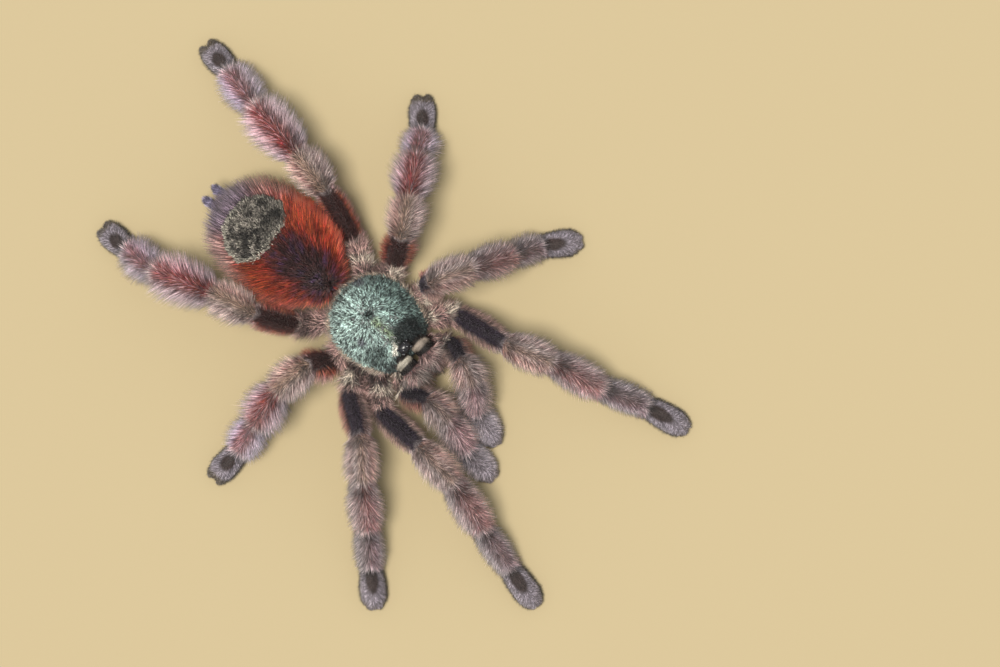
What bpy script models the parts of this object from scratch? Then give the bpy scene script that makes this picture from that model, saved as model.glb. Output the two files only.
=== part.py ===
"""An adult female Antilles pinktoe tarantula, standing with her legs spread, life size.

The solids reach to the tips of her hair. Sizes are in millimetres and become metres when a mesh is
made. She faces -Y, her left side is +X, and her feet stand on flats at z = 0. Places are measured
from the fovea, the dimple in the middle of her carapace, until the whole model is centred.
"""

import math

import bmesh
import bpy
from mathutils import Vector

MM = 0.001
GAP = 0.3  # left open between pieces that touch

# The prosoma: carapace above, a core under it, and the chelicerae in front.
CARAPACE_MARGIN_Z = 8.8
CARAPACE_FLOOR_Z = 8.3
CARAPACE_STATIONS = (  # forward of the fovea, half width, top
    (-6.8, 3.0, 10.2),
    (-5.6, 5.5, 11.2),
    (-3.2, 7.9, 12.0),
    (0.0, 8.9, 12.3),
    (3.2, 8.8, 12.8),
    (6.2, 8.1, 13.2),
    (8.8, 7.2, 13.2),
    (10.6, 6.2, 12.4),
    (11.3, 5.2, 10.9),
)
CARAPACE_POINTS = 12  # across its top
CARAPACE_ROUNDING = (2.4, 0.75)  # powers that make its cross-section full, with a steep side
UNDERSIDE_POINTS = 5
UNDERSIDE_SHARE = 0.93  # of the half width
CORE_HALF_WIDTH = 3.6
CORE_HALF_LENGTH = 5.2
CORE_FORWARD = 2.2
CORE_BOTTOM_Z = 3.8
CORE_TOP_Z = 8.0
CORE_CHAMFER = 0.8  # how high its lower edge is taken in
CORE_CHAMFER_SIZE = 0.86
CORE_SIDES = 20
PEDICEL_Z = 6.6
PEDICEL_RADIUS = 0.95
PEDICEL_SINK = 0.9  # into the abdomen's front

TUBERCLE_FORWARD = 9.6
TUBERCLE_BASE_Z = 13.55
TUBERCLE_HALF_SIZE = (1.3, 0.95, 0.7)
TUBERCLE_RISES = (0.0, 0.35, 0.65, 0.87)  # shares of its height
EYE_GAP = 0.12
EYES = {  # sideways, forward and up from the tubercle's middle, and the eye's radius
    "anterior_median": (0.42, 0.25, 0.75, 0.30),
    "anterior_lateral": (0.90, 0.75, 0.20, 0.30),
    "posterior_lateral": (1.05, -0.45, 0.22, 0.27),
    "posterior_median": (0.62, -0.50, 0.62, 0.20),
}

CHELICERA_SIDE = 2.45
CHELICERA_ROOT_FORWARD = 11.7
CHELICERA_REACH = 3.9
CHELICERA_TOP_Z = 10.1
CHELICERA_DROP = 4.7
CHELICERA_GIRTHS = (  # share of its bow, half width, half height
    (0.0, 2.2, 2.3),
    (0.3, 2.3, 2.5),
    (0.6, 2.15, 2.4),
    (0.85, 1.8, 2.0),
    (1.0, 1.2, 1.3),
)
CHELICERA_BOW = math.radians(72)  # how far its end is turned down from level
FANG_LENGTH = 6.0
FANG_Z = 4.2
FANG_SAG = 0.5
FANG_RADIUS = 0.7
FANG_TIP_RADIUS = 0.28

# The opisthosoma leans a little to her right behind the prosoma.
ABDOMEN_LEAN = math.radians(4.5)
ABDOMEN_SHIFT = -0.35
ABDOMEN_FRONT = 8.0
ABDOMEN_HALF_SIZE = (10.2, 14.4, 8.5)
ABDOMEN_TAPER = 0.09  # how much narrower than its front its rear is
ABDOMEN_Z = 11.0
SPINNERETS = {  # radius, then root and tip: behind the abdomen's rear, outward and up
    "lateral": (0.95, (-1.2, 1.1, 6.6), (3.4, 1.55, 8.2)),
    "median": (0.42, (-1.9, 0.6, 5.2), (-0.3, 0.65, 5.1)),
}
SPINNERET_STATIONS = (  # share of its length, girth: three swellings and a blunt tip
    (0.0, 0.85),
    (0.2, 1.0),
    (0.38, 0.8),
    (0.55, 0.92),
    (0.7, 0.74),
    (0.86, 0.8),
    (1.0, 0.4),
)

# Lengths of the segments of a leg of each pair, and of a palp, which has no metatarsus.
SEGMENTS = {
    1: {"femur": 14.4, "patella": 9.9, "tibia": 12.2, "metatarsus": 11.3, "tarsus": 9.7},
    2: {"femur": 12.5, "patella": 9.2, "tibia": 10.8, "metatarsus": 9.7, "tarsus": 8.6},
    3: {"femur": 10.6, "patella": 8.0, "tibia": 9.3, "metatarsus": 10.0, "tarsus": 7.6},
    4: {"femur": 14.0, "patella": 8.7, "tibia": 13.0, "metatarsus": 13.3, "tarsus": 7.2},
    "palp": {"femur": 7.8, "patella": 5.9, "tibia": 8.6, "tarsus": 8.8},
}
# Half width and half height at the thickest place of each segment, with its hair.
GIRTHS = {
    1: {"femur": (2.6, 2.8), "patella": (3.6, 3.3), "tibia": (3.6, 3.4), "metatarsus": (3.1, 2.9)},
    2: {"femur": (2.6, 2.8), "patella": (3.6, 3.3), "tibia": (3.6, 3.4), "metatarsus": (3.2, 2.9)},
    3: {"femur": (2.6, 2.7), "patella": (3.7, 3.3), "tibia": (4.2, 3.7), "metatarsus": (3.7, 3.1)},
    4: {"femur": (2.4, 2.6), "patella": (3.7, 3.4), "tibia": (4.4, 3.9), "metatarsus": (3.8, 3.3)},
    "palp": {"femur": (2.1, 2.1), "patella": (3.0, 2.7), "tibia": (3.0, 2.7)},
}
TARSUS_GIRTH = {"leg": (2.9, 2.6), "palp": (2.8, 2.75)}
TARSUS_STATIONS = ((0.0, 0.90), (0.3, 0.98), (0.58, 1.0), (0.8, 0.96), (0.93, 0.78), (1.0, 0.42))
COXA_GIRTH = {1: 2.05, 2: 2.05, 3: 2.0, 4: 2.1, "palp": 1.35}
COXA_STATIONS = ((0.0, 0.66), (0.3, 0.95), (0.62, 1.0), (0.85, 1.1), (1.0, 1.12))
HIPS = {  # where each coxa leaves the core: sideways and forward
    "palp": (1.9, 8.9),
    1: (3.8, 6.4),
    2: (4.6, 3.4),
    3: (4.6, 0.3),
    4: (3.7, -2.7),
}
HIP_Z = 5.6
TROCHANTER_Z = 6.3
WRIST_Z = {"leg": 2.7, "palp": 5.0}  # the tarsus's axis where it starts
TOE_Z = {"leg": 1.7, "palp": 1.5}  # and where it ends
WAIST = 0.86  # a segment's girth at its joints, against its thickest
SWELLING_POWER = 0.7  # below 1, a segment is full for most of its length
SEGMENT_STEPS = 5
BEND_STEPS = 8
SIDES = {"coxa": 10, "upper": 10, "lower": 12, "jaw": 12, "mound": 12, "slim": 8}
BEND = 3.6  # how far each side of a joint its bend reaches

# How she stands. Each leg has its femur's root, sideways and forward, the headings of its segments
# from straight sideways (0) to straight forward (90), and the slopes of the first ones, upward.
# The segment before the tarsus slopes down as far as the floor asks.
STANCE = {
    "palp_left": ((7.0, 15.7), (109, 110, 138, 108), (62, -12)),
    "palp_right": ((7.4, 15.4), (126, 84, 70, 86), (48, -20)),
    "leg_left_1": ((11.8, 12.6), (81, 69, 77, 70, 78), (37, -5, -27)),
    "leg_right_1": ((12.8, 13.9), (91, 85, 73, 74, 78), (42, -6, -30)),
    "leg_left_2": ((12.3, 6.4), (-79, 30, 30, 29, 41), (82, -4, -44)),
    "leg_right_2": ((13.8, 7.0), (58, 43, 47, 45, 47), (44, -5, -31)),
    "leg_left_3": ((11.1, -3.2), (-22, -30, -31, -30, -42), (63, -4, -22)),
    "leg_right_3": ((12.5, 0.6), (-51, -9, 8, 8, 0), (69, -7, -32)),
    "leg_left_4": ((9.2, -11.9), (-71, -79, -83, -79, -83), (36, -3, -6)),
    "leg_right_4": ((10.9, -9.5), (-63, -76, -69, -82, -90), (54, -3, -14)),
}

COLOURS = {
    "carapace": ((0.27, 0.44, 0.37), 0.55),
    "core": ((0.10, 0.07, 0.06), 0.7),
    "eye": ((0.01, 0.01, 0.012), 0.08),
    "chelicera": ((0.42, 0.36, 0.28), 0.6),
    "fang": ((0.02, 0.008, 0.006), 0.15),
    "abdomen": ((0.42, 0.07, 0.03), 0.6),
    "spinneret": ((0.20, 0.16, 0.22), 0.7),
    "coxa": ((0.25, 0.20, 0.17), 0.7),
    "femur": ((0.025, 0.018, 0.022), 0.6),
    "shank": ((0.38, 0.20, 0.20), 0.65),
    "foot": ((0.30, 0.24, 0.28), 0.65),
}


def material(kind):
    """The plain material of one kind of piece, made once."""
    found = bpy.data.materials.get(kind)
    if found:
        return found
    colour, roughness = COLOURS[kind]
    made = bpy.data.materials.new(kind)
    made.use_nodes = True
    shader = made.node_tree.nodes["Principled BSDF"]
    shader.inputs["Base Color"].default_value = (*colour, 1.0)
    shader.inputs["Roughness"].default_value = roughness
    shader.inputs["Metallic"].default_value = 0.0
    return made


def add_solid(name, bm, kind, origin):
    """An object from a mesh in millimetres, with its origin at a point of the animal."""
    origin = Vector(origin)
    bmesh.ops.translate(bm, verts=bm.verts, vec=-origin)
    bmesh.ops.scale(bm, verts=bm.verts, vec=(MM, MM, MM))
    bmesh.ops.recalc_face_normals(bm, faces=bm.faces)
    mesh = bpy.data.meshes.new(name)
    bm.to_mesh(mesh)
    bm.free()
    mesh.shade_smooth()
    mesh.set_sharp_from_angle(angle=math.radians(50))
    mesh.materials.append(material(kind))
    solid = bpy.data.objects.new(name, mesh)
    solid.location = origin * MM
    bpy.context.collection.objects.link(solid)
    return solid


def lofted(rings):
    """A closed skin over rings of points, capped at both ends."""
    bm = bmesh.new()
    loops = [[bm.verts.new(point) for point in ring] for ring in rings]
    for near, far in zip(loops, loops[1:]):
        count = len(near)
        for k in range(count):
            following = (k + 1) % count
            bm.faces.new((near[k], near[following], far[following], far[k]))
    bm.faces.new(reversed(loops[0]))
    bm.faces.new(loops[-1])
    return bm


class Path:
    """A line through joints whose corners are rounded off, measured along its straight runs."""

    def __init__(self, joints, bend):
        self.joints = [Vector(joint) for joint in joints]
        self.bend = bend
        self.marks = [0.0]
        for start, end in zip(self.joints, self.joints[1:]):
            self.marks.append(self.marks[-1] + (end - start).length)

    def straight(self, at):
        last = len(self.marks) - 2
        run = next((k for k in range(last) if at < self.marks[k + 1]), last)
        share = (at - self.marks[run]) / (self.marks[run + 1] - self.marks[run])
        return self.joints[run] + (self.joints[run + 1] - self.joints[run]) * share

    def point(self, at):
        shifts = [self.bend * (2 * k / BEND_STEPS - 1) for k in range(BEND_STEPS + 1)]
        points = [self.straight(at + shift) for shift in shifts]
        inner = sum(points[1:-1], Vector())
        return (inner + (points[0] + points[-1]) / 2) / BEND_STEPS

    def direction(self, at):
        return (self.straight(at + self.bend) - self.straight(at - self.bend)).normalized()


def section(centre, direction, side, half_width, half_height, sides, flat_under=False):
    """One ring square to the direction. A flat one has a squarer underside that stops at the floor.

    The side points to the right of a limb that is seen from its root, so that upward is its back.
    """
    side = (side - direction * side.dot(direction)).normalized()
    upward = side.cross(direction)
    ring = []
    for k in range(sides):
        angle = 2 * math.pi * k / sides
        rise = math.sin(angle)
        if flat_under and rise < 0:
            rise = -math.sqrt(-rise)
        point = centre + side * (half_width * math.cos(angle)) + upward * (half_height * rise)
        if flat_under:
            point.z = max(point.z, 0.0)
        ring.append(point)
    return ring


def swollen(share):
    """A segment's size at a share of its length, against its thickest."""
    return WAIST + (1 - WAIST) * math.sin(math.pi * share) ** SWELLING_POWER


def limb_joints(name):
    """The ends of every segment of a limb, from its hip on the core to its toe."""
    (root_side, root_forward), headings, slopes = STANCE[name]
    pair = "palp" if name.startswith("palp") else int(name[-1])
    kind = "palp" if pair == "palp" else "leg"
    outward = 1 if "left" in name else -1
    hip_side, hip_forward = HIPS[pair]
    joints = [
        Vector((outward * hip_side, -hip_forward, HIP_Z)),
        Vector((outward * root_side, -root_forward, TROCHANTER_Z)),
    ]
    lengths = list(SEGMENTS[pair].values())
    drops = [math.sin(math.radians(slope)) * length for slope, length in zip(slopes, lengths)]
    drops.append(WRIST_Z[kind] - TROCHANTER_Z - sum(drops))
    drops.append(TOE_Z[kind] - WRIST_Z[kind])
    for heading, length, drop in zip(headings, lengths, drops):
        reach = math.sqrt(length**2 - drop**2)
        turn = math.radians(heading)
        step = Vector((outward * math.cos(turn) * reach, -math.sin(turn) * reach, drop))
        joints.append(joints[-1] + step)
    return joints


def coxa_rings(path, side, girth):
    """The coxa and the trochanter, from the core to the femur."""
    end = path.marks[1]
    rings = []
    for share, size in COXA_STATIONS:
        at = end * share
        centre = path.point(at)
        direction = path.direction(at)
        if share == 0.0:
            centre = path.joints[0]
            direction = (path.joints[1] - path.joints[0]).normalized()
        if share == 1.0:
            centre = centre - direction * GAP / 2
        radius = girth * size
        rings.append(section(centre, direction, side, radius, radius, SIDES["coxa"]))
    return rings


def run_rings(path, side, segments, first, girths, sides):
    """The rings of one piece that holds one or two segments, each swollen in its middle."""
    rings = []
    count = len(segments)
    for number, segment in enumerate(segments):
        start = path.marks[first + number]
        length = path.marks[first + number + 1] - start
        width, height = girths[segment]
        if segment == "tarsus":
            stations = TARSUS_STATIONS
        else:
            shares = [k / SEGMENT_STEPS for k in range(SEGMENT_STEPS + 1)]
            stations = [(share, swollen(share)) for share in shares]
        for share, size in stations:
            if share == 0.0 and number > 0:
                continue
            at = start + length * share
            centre = path.point(at)
            direction = path.direction(at)
            if share == 0.0:
                centre = centre + direction * GAP / 2
            if share == 1.0 and segment != "tarsus" and number == count - 1:
                centre = centre - direction * GAP / 2
            flat = segment == "tarsus" and share > 0.0
            rings.append(section(centre, direction, side, width * size, height * size, sides, flat))
    return rings


def add_limb(name):
    """A leg or palp in pieces: hip, femur, shank and foot."""
    pair = "palp" if name.startswith("palp") else int(name[-1])
    joints = limb_joints(name)
    path = Path(joints, BEND)
    along = joints[-1] - joints[1]
    side = Vector((along.y, -along.x, 0.0)).normalized()
    girths = {**GIRTHS[pair], "tarsus": TARSUS_GIRTH["palp" if pair == "palp" else "leg"]}
    add_solid(f"{name}_coxa", lofted(coxa_rings(path, side, COXA_GIRTH[pair])), "coxa", joints[0])
    if pair == "palp":
        upper = run_rings(path, side, ("femur", "patella"), 1, girths, SIDES["upper"])
        lower = run_rings(path, side, ("tibia", "tarsus"), 3, girths, SIDES["lower"])
        add_solid(f"{name}_femur", lofted(upper), "femur", joints[1])
        add_solid(f"{name}_foot", lofted(lower), "foot", joints[3])
        return
    upper = run_rings(path, side, ("femur",), 1, girths, SIDES["upper"])
    middle = run_rings(path, side, ("patella", "tibia"), 2, girths, SIDES["upper"])
    lower = run_rings(path, side, ("metatarsus", "tarsus"), 4, girths, SIDES["lower"])
    add_solid(f"{name}_femur", lofted(upper), "femur", joints[1])
    add_solid(f"{name}_shank", lofted(middle), "shank", joints[2])
    add_solid(f"{name}_foot", lofted(lower), "foot", joints[4])


def add_carapace():
    """A low dome with a thin margin, blunt in front."""
    rings = []
    fullness, steepness = CARAPACE_ROUNDING
    for forward, half_width, top in CARAPACE_STATIONS:
        ring = []
        for k in range(CARAPACE_POINTS + 1):
            across = math.cos(math.pi * k / CARAPACE_POINTS)
            rise = (1 - abs(across) ** fullness) ** steepness
            height = CARAPACE_MARGIN_Z + (top - CARAPACE_MARGIN_Z) * rise
            ring.append(Vector((half_width * across, -forward, height)))
        for k in range(UNDERSIDE_POINTS):
            across = UNDERSIDE_SHARE * (2 * k / (UNDERSIDE_POINTS - 1) - 1)
            ring.append(Vector((half_width * across, -forward, CARAPACE_FLOOR_Z)))
        rings.append(ring)
    add_solid("carapace", lofted(rings), "carapace", (0, 0, CARAPACE_FLOOR_Z))


def add_core():
    """The sternum and the body between the hips, with the labium as its front lip."""
    rings = []
    edge = CORE_BOTTOM_Z + CORE_CHAMFER
    for height, size in ((CORE_BOTTOM_Z, CORE_CHAMFER_SIZE), (edge, 1.0), (CORE_TOP_Z, 1.0)):
        ring = []
        for k in range(CORE_SIDES):
            angle = 2 * math.pi * k / CORE_SIDES
            x = CORE_HALF_WIDTH * size * math.cos(angle)
            y = CORE_HALF_LENGTH * size * math.sin(angle) - CORE_FORWARD
            ring.append(Vector((x, y, height)))
        rings.append(ring)
    add_solid("sternum", lofted(rings), "core", (0, -CORE_FORWARD, CORE_BOTTOM_Z))


def add_pedicel():
    """The narrow waist, from the core to the abdomen."""
    start = CORE_HALF_LENGTH - CORE_FORWARD + GAP
    end = ABDOMEN_FRONT + PEDICEL_SINK
    rings = []
    radius = PEDICEL_RADIUS
    for share in (0.0, 0.5, 1.0):
        centre = Vector((0, start + (end - start) * share, PEDICEL_Z))
        ring = section(centre, Vector((0, 1, 0)), Vector((1, 0, 0)), radius, radius, SIDES["coxa"])
        rings.append(ring)
    add_solid("pedicel", lofted(rings), "core", (0, start, PEDICEL_Z))


def add_tubercle():
    """The mound that carries the eyes, flat where it sits on the carapace."""
    width, length, height = TUBERCLE_HALF_SIZE
    rings = []
    for rise in TUBERCLE_RISES:
        size = math.sqrt(1 - rise**2)
        ring = []
        for k in range(SIDES["mound"]):
            angle = 2 * math.pi * k / SIDES["mound"]
            x = width * size * math.cos(angle)
            y = length * size * math.sin(angle) - TUBERCLE_FORWARD
            ring.append(Vector((x, y, TUBERCLE_BASE_Z + height * rise)))
        rings.append(ring)
    add_solid("ocular_tubercle", lofted(rings), "eye", (0, -TUBERCLE_FORWARD, TUBERCLE_BASE_Z))


def add_eyes():
    """Eight eyes in two rows, set round the tubercle's surface."""
    width, length, height = TUBERCLE_HALF_SIZE
    for name, (sideways, forward, up, radius) in EYES.items():
        for side, outward in (("left", 1), ("right", -1)):
            aim = Vector((outward * sideways, -forward, up)).normalized()
            reach = 1 / math.sqrt((aim.x / width) ** 2 + (aim.y / length) ** 2 + (aim.z / height) ** 2)
            centre = Vector((0, -TUBERCLE_FORWARD, TUBERCLE_BASE_Z)) + aim * (reach + EYE_GAP + radius)
            bm = bmesh.new()
            bmesh.ops.create_icosphere(bm, subdivisions=1, radius=radius)
            bmesh.ops.translate(bm, verts=bm.verts, vec=centre)
            add_solid(f"eye_{name}_{side}", bm, "eye", centre)


def add_chelicerae():
    """The two jaw bases, which bow forward and down, each with its fang folded back beneath."""
    for side, outward in (("left", 1), ("right", -1)):
        x = outward * CHELICERA_SIDE
        rings = []
        for share, width, height in CHELICERA_GIRTHS:
            turn = share * math.pi / 2
            forward = CHELICERA_ROOT_FORWARD + CHELICERA_REACH * math.sin(turn)
            centre = Vector((x, -forward, CHELICERA_TOP_Z - CHELICERA_DROP * (1 - math.cos(turn))))
            aim = CHELICERA_BOW * share
            direction = Vector((0, -math.cos(aim), -math.sin(aim)))
            rings.append(section(centre, direction, Vector((1, 0, 0)), width, height, SIDES["jaw"]))
        origin = (x, -CHELICERA_ROOT_FORWARD, CHELICERA_TOP_Z)
        add_solid(f"chelicera_{side}", lofted(rings), "chelicera", origin)
        add_fang(side, x)


def add_fang(side, x):
    """A curved, tapering fang that lies under its chelicera and points back."""
    start = Vector((x, -CHELICERA_ROOT_FORWARD - CHELICERA_REACH, FANG_Z))
    rings = []
    for share in (0.0, 0.25, 0.5, 0.75, 1.0):
        centre = start + Vector((0, FANG_LENGTH * share, -FANG_SAG * math.sin(math.pi * share)))
        radius = FANG_RADIUS + (FANG_TIP_RADIUS - FANG_RADIUS) * share
        slope = -math.pi * FANG_SAG * math.cos(math.pi * share)
        direction = Vector((0, FANG_LENGTH, slope)).normalized()
        rings.append(section(centre, direction, Vector((1, 0, 0)), radius, radius, SIDES["slim"]))
    add_solid(f"fang_{side}", lofted(rings), "fang", start)


def behind(along, across, z):
    """A place on the opisthosoma: along its axis from its front, and across it to her left."""
    x = ABDOMEN_SHIFT + across * math.cos(ABDOMEN_LEAN) - along * math.sin(ABDOMEN_LEAN)
    y = ABDOMEN_FRONT + along * math.cos(ABDOMEN_LEAN) + across * math.sin(ABDOMEN_LEAN)
    return Vector((x, y, z))


def add_abdomen():
    """An egg with its blunt end to the front and a fuller belly line at the rear."""
    half_width, half_length, half_height = ABDOMEN_HALF_SIZE
    bm = bmesh.new()
    bmesh.ops.create_uvsphere(bm, u_segments=18, v_segments=13, radius=1.0)
    for vert in bm.verts:
        across, up, back = vert.co.x, vert.co.y, vert.co.z
        taper = 1 - ABDOMEN_TAPER * back
        z = ABDOMEN_Z + half_height * up * taper
        vert.co = behind(half_length * (1 + back), half_width * across * taper, z)
    add_solid("abdomen", bm, "abdomen", behind(half_length, 0, ABDOMEN_Z))


def add_spinnerets():
    """A long jointed pair that reaches behind the abdomen and a short pair between them."""
    rear = 2 * ABDOMEN_HALF_SIZE[1]
    for kind, (radius, root, tip) in SPINNERETS.items():
        for side, outward in (("left", 1), ("right", -1)):
            start, end = (behind(rear + back, outward * across, z) for back, across, z in (root, tip))
            add_spinneret(f"spinneret_{kind}_{side}", start, end, radius)


def add_spinneret(name, start, end, radius):
    """A finger of three swellings, blunt at its tip."""
    direction = (end - start).normalized()
    rings = []
    for share, size in SPINNERET_STATIONS:
        centre = start.lerp(end, share)
        girth = radius * size
        rings.append(section(centre, direction, Vector((1, 0, 0)), girth, girth, SIDES["slim"]))
    add_solid(name, lofted(rings), "spinneret", start)


def centre_on_floor():
    """Hangs every piece on one empty and moves it so that the model's box is centred on the origin."""
    bpy.context.view_layer.update()
    pieces = [piece for piece in bpy.context.collection.objects if piece.type == "MESH"]
    corners = [piece.matrix_world @ vert.co for piece in pieces for vert in piece.data.vertices]
    stance = bpy.data.objects.new("stance", None)
    bpy.context.collection.objects.link(stance)
    for piece in pieces:
        piece.parent = stance
    for axis in (0, 1):
        values = [corner[axis] for corner in corners]
        stance.location[axis] = -(min(values) + max(values)) / 2


def main():
    for old in list(bpy.data.objects):
        bpy.data.objects.remove(old, do_unlink=True)
    add_carapace()
    add_core()
    add_pedicel()
    add_tubercle()
    add_eyes()
    add_chelicerae()
    add_abdomen()
    add_spinnerets()
    for name in STANCE:
        add_limb(name)
    centre_on_floor()


main()
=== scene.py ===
import math

import bmesh
import bpy
import numpy as np
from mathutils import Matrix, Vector
from mathutils.kdtree import KDTree


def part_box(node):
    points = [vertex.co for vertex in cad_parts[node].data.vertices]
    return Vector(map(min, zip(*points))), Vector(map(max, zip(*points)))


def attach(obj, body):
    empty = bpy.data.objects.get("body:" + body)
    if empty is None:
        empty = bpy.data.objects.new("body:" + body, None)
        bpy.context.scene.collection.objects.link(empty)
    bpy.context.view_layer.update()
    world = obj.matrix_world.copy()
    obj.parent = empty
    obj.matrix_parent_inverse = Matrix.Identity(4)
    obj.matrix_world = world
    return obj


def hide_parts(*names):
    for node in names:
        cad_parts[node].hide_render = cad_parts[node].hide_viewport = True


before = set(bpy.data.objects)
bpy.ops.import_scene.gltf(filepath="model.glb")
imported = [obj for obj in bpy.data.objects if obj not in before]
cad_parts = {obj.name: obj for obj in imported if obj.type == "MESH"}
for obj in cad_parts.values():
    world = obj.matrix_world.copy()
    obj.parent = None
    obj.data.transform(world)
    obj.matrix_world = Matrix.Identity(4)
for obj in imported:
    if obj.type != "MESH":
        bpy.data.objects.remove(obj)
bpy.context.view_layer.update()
mm = 0.001
shellLow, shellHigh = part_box("carapace")
foveaFromRear = 6.8 * mm  # she is measured from the fovea
flanks = (("left", 1), ("right", -1))
fovea = np.array(((shellLow.x + shellHigh.x) / 2, shellHigh.y - foveaFromRear, 0.0))


def inFrame(points):  # millimetres from the fovea to metres in the row frame
    return np.asarray(points, float) * mm + fovea


def tone(code):  # a screen colour such as 0x8fb8a8, as linear light
    parts = np.array([(code >> shift & 255) / 255 for shift in (16, 8, 0)])
    return np.where(parts <= 0.04045, parts / 12.92, ((parts + 0.055) / 1.055) ** 2.4)


def between(low, high, values):  # 0 below low, 1 above high, smooth between
    share = np.clip((values - low) / (high - low), 0, 1)
    return share * share * (3 - 2 * share)


def blended(first, second, share):
    share = np.clip(np.asarray(share, float), 0, 1).reshape(-1, 1)
    return first * (1 - share) + second * share


def ridge(values, middle, width):  # 1 at the middle, falling off to either side
    return np.exp(-(((values - middle) / width) ** 2))


def unit(vectors):
    return vectors / np.maximum(np.linalg.norm(vectors, axis=-1, keepdims=True), 1e-9)


def dot(first, second):
    return np.sum(first * second, axis=-1)


def mottle(points, size, seed):  # smooth noise from 0 to 1 with blotches of that size
    place = points / size + 17.31 * seed
    cell = np.floor(place).astype(np.int64)
    inner = place - cell
    inner = inner * inner * (3 - 2 * inner)
    total = np.zeros(len(points))
    for corner in np.ndindex(2, 2, 2):
        key = (cell + corner) @ np.array((73856093, 19349663, 83492791))
        key = (key ^ (key >> 13)) * 1274126177 % 4294967296
        weight = np.prod(np.where(np.array(corner) == 1, inner, 1 - inner), axis=1)
        total += weight * (key / 4294967296)
    return total


def addNode(tree, kind, wires=None, **settings):
    node = tree.nodes.new(kind)
    for label, value in settings.items():
        setattr(node, label, value)
    for socket, source in (wires or {}).items():
        if isinstance(source, bpy.types.NodeSocket):
            tree.links.new(source, node.inputs[socket])
        else:
            node.inputs[socket].default_value = source
    return node


def newMaterial(name, **plain):
    made = bpy.data.materials.new(name)
    made.use_nodes = True
    shader = made.node_tree.nodes["Principled BSDF"]
    for socket, value in plain.items():
        shader.inputs[socket.replace("_", " ")].default_value = value
    return made, made.node_tree, shader


def attributeOf(tree, label, output="Color"):
    return addNode(tree, "ShaderNodeAttribute", attribute_name=label).outputs[output]


def linked(name, data):
    made = bpy.data.objects.new(name, data)
    bpy.context.collection.objects.link(made)
    return made


def meshOf(name, points, faces):
    mesh = bpy.data.meshes.new(name)
    mesh.from_pydata(np.asarray(points).tolist(), [], faces)
    return mesh


def facingOut(mesh):
    bm = bmesh.new()
    bm.from_mesh(mesh)
    bmesh.ops.recalc_face_normals(bm, faces=bm.faces)
    bm.to_mesh(mesh)
    bm.free()


def workedOut(body):  # its mesh with the modifiers applied, and the body itself gone
    graph = bpy.context.evaluated_depsgraph_get()
    mesh = bpy.data.meshes.new_from_object(body.evaluated_get(graph), depsgraph=graph)
    bpy.data.objects.remove(body)
    return mesh


def hairMaterial(name, roughness, gloss, sheen, brightness, drift):  # from the root's colour to the tip's
    plain = {"Specular_IOR_Level": gloss, "Sheen_Weight": sheen, "Sheen_Roughness": 0.4}
    made, tree, shader = newMaterial(name, Roughness=roughness, **plain)
    root, tip = attributeOf(tree, "rootColour"), attributeOf(tree, "tipColour")
    along, shade = attributeOf(tree, "along", "Fac"), attributeOf(tree, "shade", "Fac")
    faded = addNode(tree, "ShaderNodeMix", {0: along, 6: root, 7: tip}, data_type="RGBA")
    low, high, bias = brightness  # no two tufts are quite alike
    biased = addNode(tree, "ShaderNodeMath", {0: shade, 1: bias}, operation="POWER").outputs[0]
    value = addNode(tree, "ShaderNodeMapRange", {"Value": biased, "To Min": low, "To Max": high})
    warmth = addNode(tree, "ShaderNodeMath", {0: shade, 1: 7.31}, operation="MULTIPLY")
    warmth = addNode(tree, "ShaderNodeMath", {0: warmth.outputs[0]}, operation="FRACT")
    ends = {"To Min": 0.5 - drift, "To Max": 0.5 + drift}
    hue = addNode(tree, "ShaderNodeMapRange", {"Value": warmth.outputs[0], **ends})
    wires = {"Hue": hue.outputs[0], "Value": value.outputs[0], "Color": faded.outputs[2]}
    varied = addNode(tree, "ShaderNodeHueSaturation", wires)
    tree.links.new(varied.outputs["Color"], shader.inputs["Base Color"])
    return made


stance = {  # the same sizes as the solids have, in mm and degrees
    "hipHeight": 5.6,
    "trochanterHeight": 6.3,
    "wristHeight": {"leg": 2.7, "palp": 5.0},
    "toeHeight": {"leg": 1.7, "palp": 1.5},
    "bend": 3.6,
    "hips": {"palp": (1.9, 8.9), 1: (3.8, 6.4), 2: (4.6, 3.4), 3: (4.6, 0.3), 4: (3.7, -2.7)},
    "segments": {  # femur, patella, tibia, metatarsus and tarsus
        1: (14.4, 9.9, 12.2, 11.3, 9.7),
        2: (12.5, 9.2, 10.8, 9.7, 8.6),
        3: (10.6, 8.0, 9.3, 10.0, 7.6),
        4: (14.0, 8.7, 13.0, 13.3, 7.2),
        "palp": (7.8, 5.9, 8.6, 8.8),
    },
    "limbs": {  # the femur's root sideways and forward, the segments' headings, and the first ones' slopes
        "palp_left": ((7.0, 15.7), (109, 110, 138, 108), (62, -12)),
        "palp_right": ((7.4, 15.4), (126, 84, 70, 86), (48, -20)),
        "leg_left_1": ((11.8, 12.6), (81, 69, 77, 70, 78), (37, -5, -27)),
        "leg_right_1": ((12.8, 13.9), (91, 85, 73, 74, 78), (42, -6, -30)),
        "leg_left_2": ((12.3, 6.4), (-79, 30, 30, 29, 41), (82, -4, -44)),
        "leg_right_2": ((13.8, 7.0), (58, 43, 47, 45, 47), (44, -5, -31)),
        "leg_left_3": ((11.1, -3.2), (-22, -30, -31, -30, -42), (63, -4, -22)),
        "leg_right_3": ((12.5, 0.6), (-51, -9, 8, 8, 0), (69, -7, -32)),
        "leg_left_4": ((9.2, -11.9), (-71, -79, -83, -79, -83), (36, -3, -6)),
        "leg_right_4": ((10.9, -9.5), (-63, -76, -69, -82, -90), (54, -3, -14)),
    },
}
partsOf = {
    "leg": ("hip", "femur", "patella", "tibia", "metatarsus", "tarsus"),
    "palp": ("hip", "femur", "patella", "tibia", "tarsus"),
}

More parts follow.
